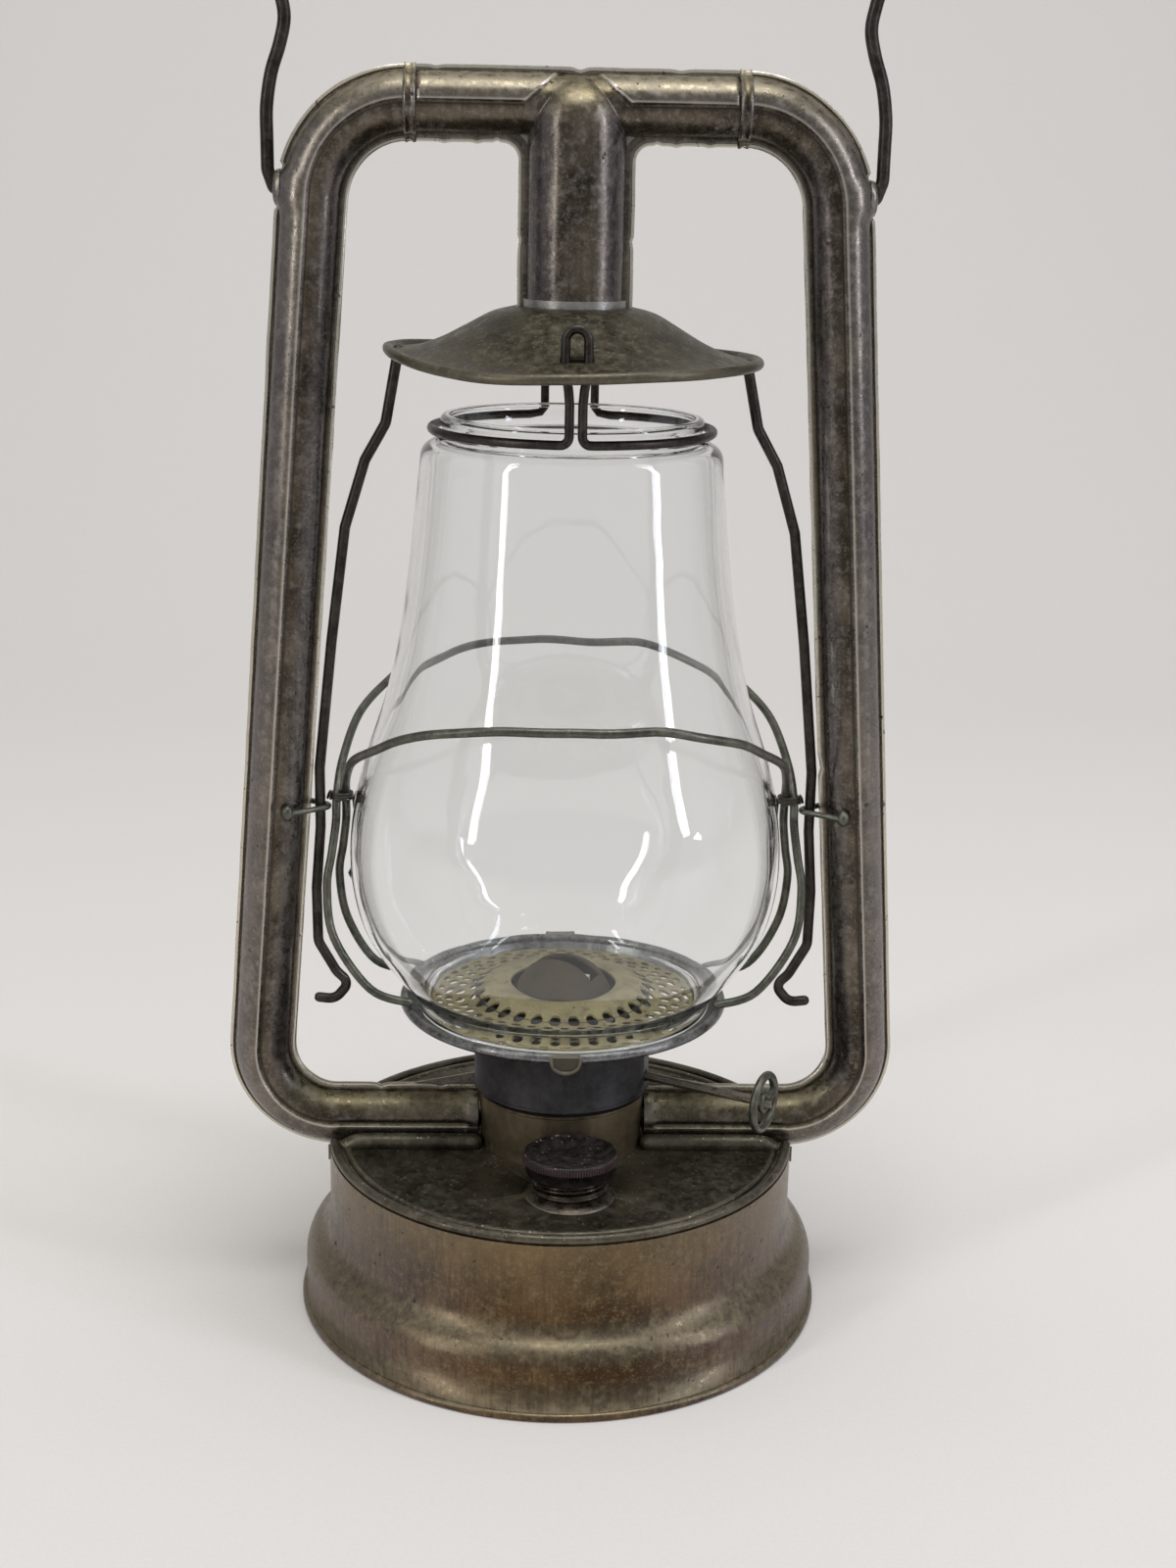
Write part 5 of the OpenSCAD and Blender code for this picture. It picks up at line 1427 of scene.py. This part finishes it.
def draft_plate():
    """Perforated plate: three rows of round holes and a ring of long slots on the slope to its mouth."""
    floor, edge = GLOBE_Z - 0.25, FOOT_R - GLASS - 1.8
    face = smooth([(edge - 2.4, 0.8, 0), (32, 1.3, 0), (28, 2.0, 0), (25, 3.1, 0), (22, 4.7, 0), (20, 5.4, 0),
                   (17.5, 5.6, 0), (15, 5.1, 0)], 4)
    profile = [(edge, 0), (edge, 0.8)] + [(p.x, p.y) for p in face]
    profile += [(p.x, p.y - 0.7) for p in face[::-1]] + [(edge - 2.2, 0)]
    sheet = lathe([(r, z + floor) for r, z in profile], 180, "plate")
    holes = hole_tree()
    # Count, circle, half length and half width of the holes, and their turn as a share of the spacing
    rings = [(30, 24.6, 2.3, 1.6, 0.0), (40, 29.4, 1.5, 1.35, 0.0), (40, 32.7, 1.4, 1.5, 0.5),
             (40, 35.7, 1.0, 1.5, 0.0)]
    for count, ring, long, wide, turn in rings:
        cut_sheet = grown(sheet, holes, {
            "Count": count, "Circle": ring * MM, "Oval": (long * MM, wide * MM, 6 * MM),
            "Turn": (0, 0, turn * 2 * math.pi / count), "Middle": (0, 0, (floor + 2.5) * MM),
            "Material": DRAFT_BRASS})
        bpy.data.meshes.remove(sheet)
        sheet = cut_sheet
    return sheet


finish_piece(draft_plate(), "draft_plate_sheet", DRAFT_BRASS, "cradle",
             ["perforated_plate"], 2)


def plate_clip():
    """Folded tab over the plate's rim: a sunk bowl with a rolled edge."""
    half, drop, y = 3.9, 4.4, -PLATE_R - 0.5
    top = PLATE_RIM_Z + 0.9
    bowl = [(-half, top), (-half + 0.2, top - 1.6)]
    bowl += [(half * 0.93 * math.sin(math.radians(a)), top - 1.6 - (drop - 1.6) * math.cos(math.radians(a)))
             for a in range(-75, 76, 15)]
    bowl += [(half - 0.2, top - 1.6), (half, top)]
    edge = wire([(x, y, z) for x, z in bowl], 0.55, "edge", sides=10)
    over = box((-half, y + 0.1, top - 0.1), (half, y + 2.2, top + 0.5), "over")
    return joined([prism(bowl, y + 0.15, y + 0.55, "bowl", -0.9), edge, over], "clip")


clips = [plate_clip(), turned_over(plate_clip(), HALF_TURN)]
finish_piece(joined(clips, "clips"), "plate_clip_springs", DARK_TIN, "cradle", ["plate_clips"], 40)
copy_of("burner_body", "burner_base", BURNER_BRASS, "frame")
copy_of("wick_tube", "burner_wick_tube", BURNER_BRASS, "frame")
copy_of("burner_dome", "burner_dome_cap", DOME_BRASS, "frame")
copy_of("wick", "wick_cotton", COTTON, "wick")
copy_of("wick_shaft", "adjuster_shaft", BROWN_STEEL, "wick_adjuster")
copy_of("spur_wheels", "adjuster_wheels", BURNER_BRASS, "wick_adjuster")


def on_shaft(p):
    """Point given along the wick shaft (side, up, along) placed in the lantern."""
    p = Vector((p[2], p[1] + SHAFT_OFFSET, -p[0] + SHAFT_Z))
    return Matrix.Rotation(BURNER_TURN, 3, "Z") @ p


def thumb_ring():
    """Wire ring with its inner loop round the end of the shaft."""
    major = THUMB_R - THUMB_WIRE
    ring = [on_shaft((major * math.cos(math.radians(a)), major * math.sin(math.radians(a)), THUMB_REACH))
            for a in range(0, 360, 10)]
    loop_wire = 0.95
    loop_r = SHAFT_R + JOINT_GAP + loop_wire
    loop = [on_shaft((0, major, THUMB_REACH)), on_shaft((0, major * 0.72, THUMB_REACH))]
    loop += [on_shaft((loop_r * math.sin(math.radians(a)), loop_r * math.cos(math.radians(a)), THUMB_REACH))
             for a in range(20, 341, 20)]
    loop.append(on_shaft((-1.6, major * 0.8, THUMB_REACH)))
    parts = [wire(ring, THUMB_WIRE, "ring", sides=14, closed=True),
             wire(smooth(loop, 3), loop_wire, "loop", sides=10)]
    return joined(parts, "thumb_ring")


finish_piece(thumb_ring(), "adjuster_thumb_ring", GREY_WIRE, "wick_adjuster", ["thumb_ring"], 60)


# Filler

def leant(mesh):
    """Sets a part of the filler in its place, at its lean."""
    mesh.transform(Matrix.Translation(FILLER * MM) @ Matrix.Rotation(-FILLER_LEAN, 4, "X"))
    return mesh


def neck():
    """Filler neck: a rolled thread of three turns on a short tube, with its soldered flange."""
    pitch, proud = 2.4, 0.75
    steps, rows = 96, 60
    bore = NECK_R - SHEET - 0.6
    points = []
    for i in range(steps):
        a = 2 * math.pi * i / steps
        ring = []
        for j in range(rows + 1):
            z = 0.9 + (NECK_H - 0.9) * j / rows
            wave = 0.5 + 0.5 * math.cos(2 * math.pi * ((z - 2.6) / pitch - a / (2 * math.pi)))
            fade = step(z, 1.2, 2.2) * (1 - step(z, NECK_H - 1.2, NECK_H - 0.3))
            ring.append((NECK_R - 0.1 + proud * fade * wave ** 1.5, z))
        for j in range(6):
            ring.append((bore, NECK_H - (NECK_H - 0.9) * j / 5))
        for r, z in ring:
            points.append((r * math.cos(a), r * math.sin(a), z))
    count = rows + 7
    tube = mesh_from(points, grid_faces(steps, count, True, True), "neck")
    lip = NECK_R + 1.6
    profile = [(bore, JOINT_GAP), (lip + 0.9, JOINT_GAP), (lip + 0.5, 0.5), (lip - 0.4, 1.1),
               (NECK_R + 0.2, 1.6), (bore, 1.6)]
    flange = lathe(profile, 96, "flange", lambda p: p + FILLER)
    return joined([leant(tube), flange], "neck")


finish_piece(neck(), "filler_neck_threaded", BROWN_STEEL, "frame", ["filler_neck"], 50)

CAP_R = 13.3
CAP_SEAT = NECK_H + 1.3
CAP_TOP = CAP_SEAT + 0.9 + 1.2
KNURLS = 108
KNURL_R = 0.26


def knurl_tree():
    """Fine ribs set round a circle and joined to the turned part."""
    tree, given = geometry_tree("ribs_round_rim", [
        ("Count", "Int"), ("Circle", "Float"), ("Rib", "Float"), ("Height", "Float"), ("Lift", "Vector"),
        ("Material", "Material")])
    rim = add(tree, "GeometryNodeMeshCircle", inputs={
        "Vertices": given["Count"], "Radius": given["Circle"]}).outputs[0]
    rib = add(tree, "GeometryNodeMeshCylinder", inputs={
        "Vertices": 8, "Radius": given["Rib"], "Depth": given["Height"]}).outputs["Mesh"]
    ribs = add(tree, "GeometryNodeInstanceOnPoints", inputs={"Points": rim, "Instance": rib}).outputs[0]
    ribs = add(tree, "GeometryNodeTransform", inputs={
        "Geometry": ribs, "Translation": given["Lift"]}).outputs[0]
    both = add(tree, "GeometryNodeJoinGeometry")
    tree.links.new(ribs, both.inputs[0])
    tree.links.new(given["Geometry"], both.inputs[0])
    return finish_tree(tree, both.outputs[0], given["Material"])


def cap():
    """Screw cap: dished top with a rolled, finely ribbed rim over a tapered skirt."""
    grip = NECK_R + 1.35
    profile = [
        (0, CAP_SEAT + 0.05), (grip, CAP_SEAT + 0.05), (grip, CAP_SEAT - 3.6), (grip + 0.5, CAP_SEAT - 3.75),
        (grip + 0.9, CAP_SEAT - 3.4), (grip + 1.0, CAP_SEAT - 2.2), (CAP_R - 0.6, CAP_SEAT - 0.9),
        (CAP_R - 0.3, CAP_SEAT - 0.4), (CAP_R - 0.22, CAP_SEAT + 0.4), (CAP_R - 0.22, CAP_TOP - 0.4),
        (CAP_R - 0.45, CAP_TOP - 0.1), (CAP_R - 0.75, CAP_TOP), (CAP_R - 1.1, CAP_TOP - 0.15),
        (CAP_R - 2.2, CAP_TOP - 0.6), (CAP_R - 4.5, CAP_TOP - 0.95), (CAP_R - 8, CAP_TOP - 1.15),
        (0, CAP_TOP - 1.2)]
    turned = lathe(profile, 128, "cap", merge=0.002)
    made = grown(turned, knurl_tree(), {
        "Count": KNURLS, "Circle": (CAP_R - 0.28) * MM, "Rib": KNURL_R * MM, "Height": 1.7 * MM,
        "Lift": (0, 0, (CAP_TOP - 1.45) * MM), "Material": CAP_STEEL})
    bpy.data.meshes.remove(turned)
    return leant(made)


finish_piece(cap(), "filler_cap_knurled", CAP_STEEL, "filler_cap", ["filler_cap"], 40)
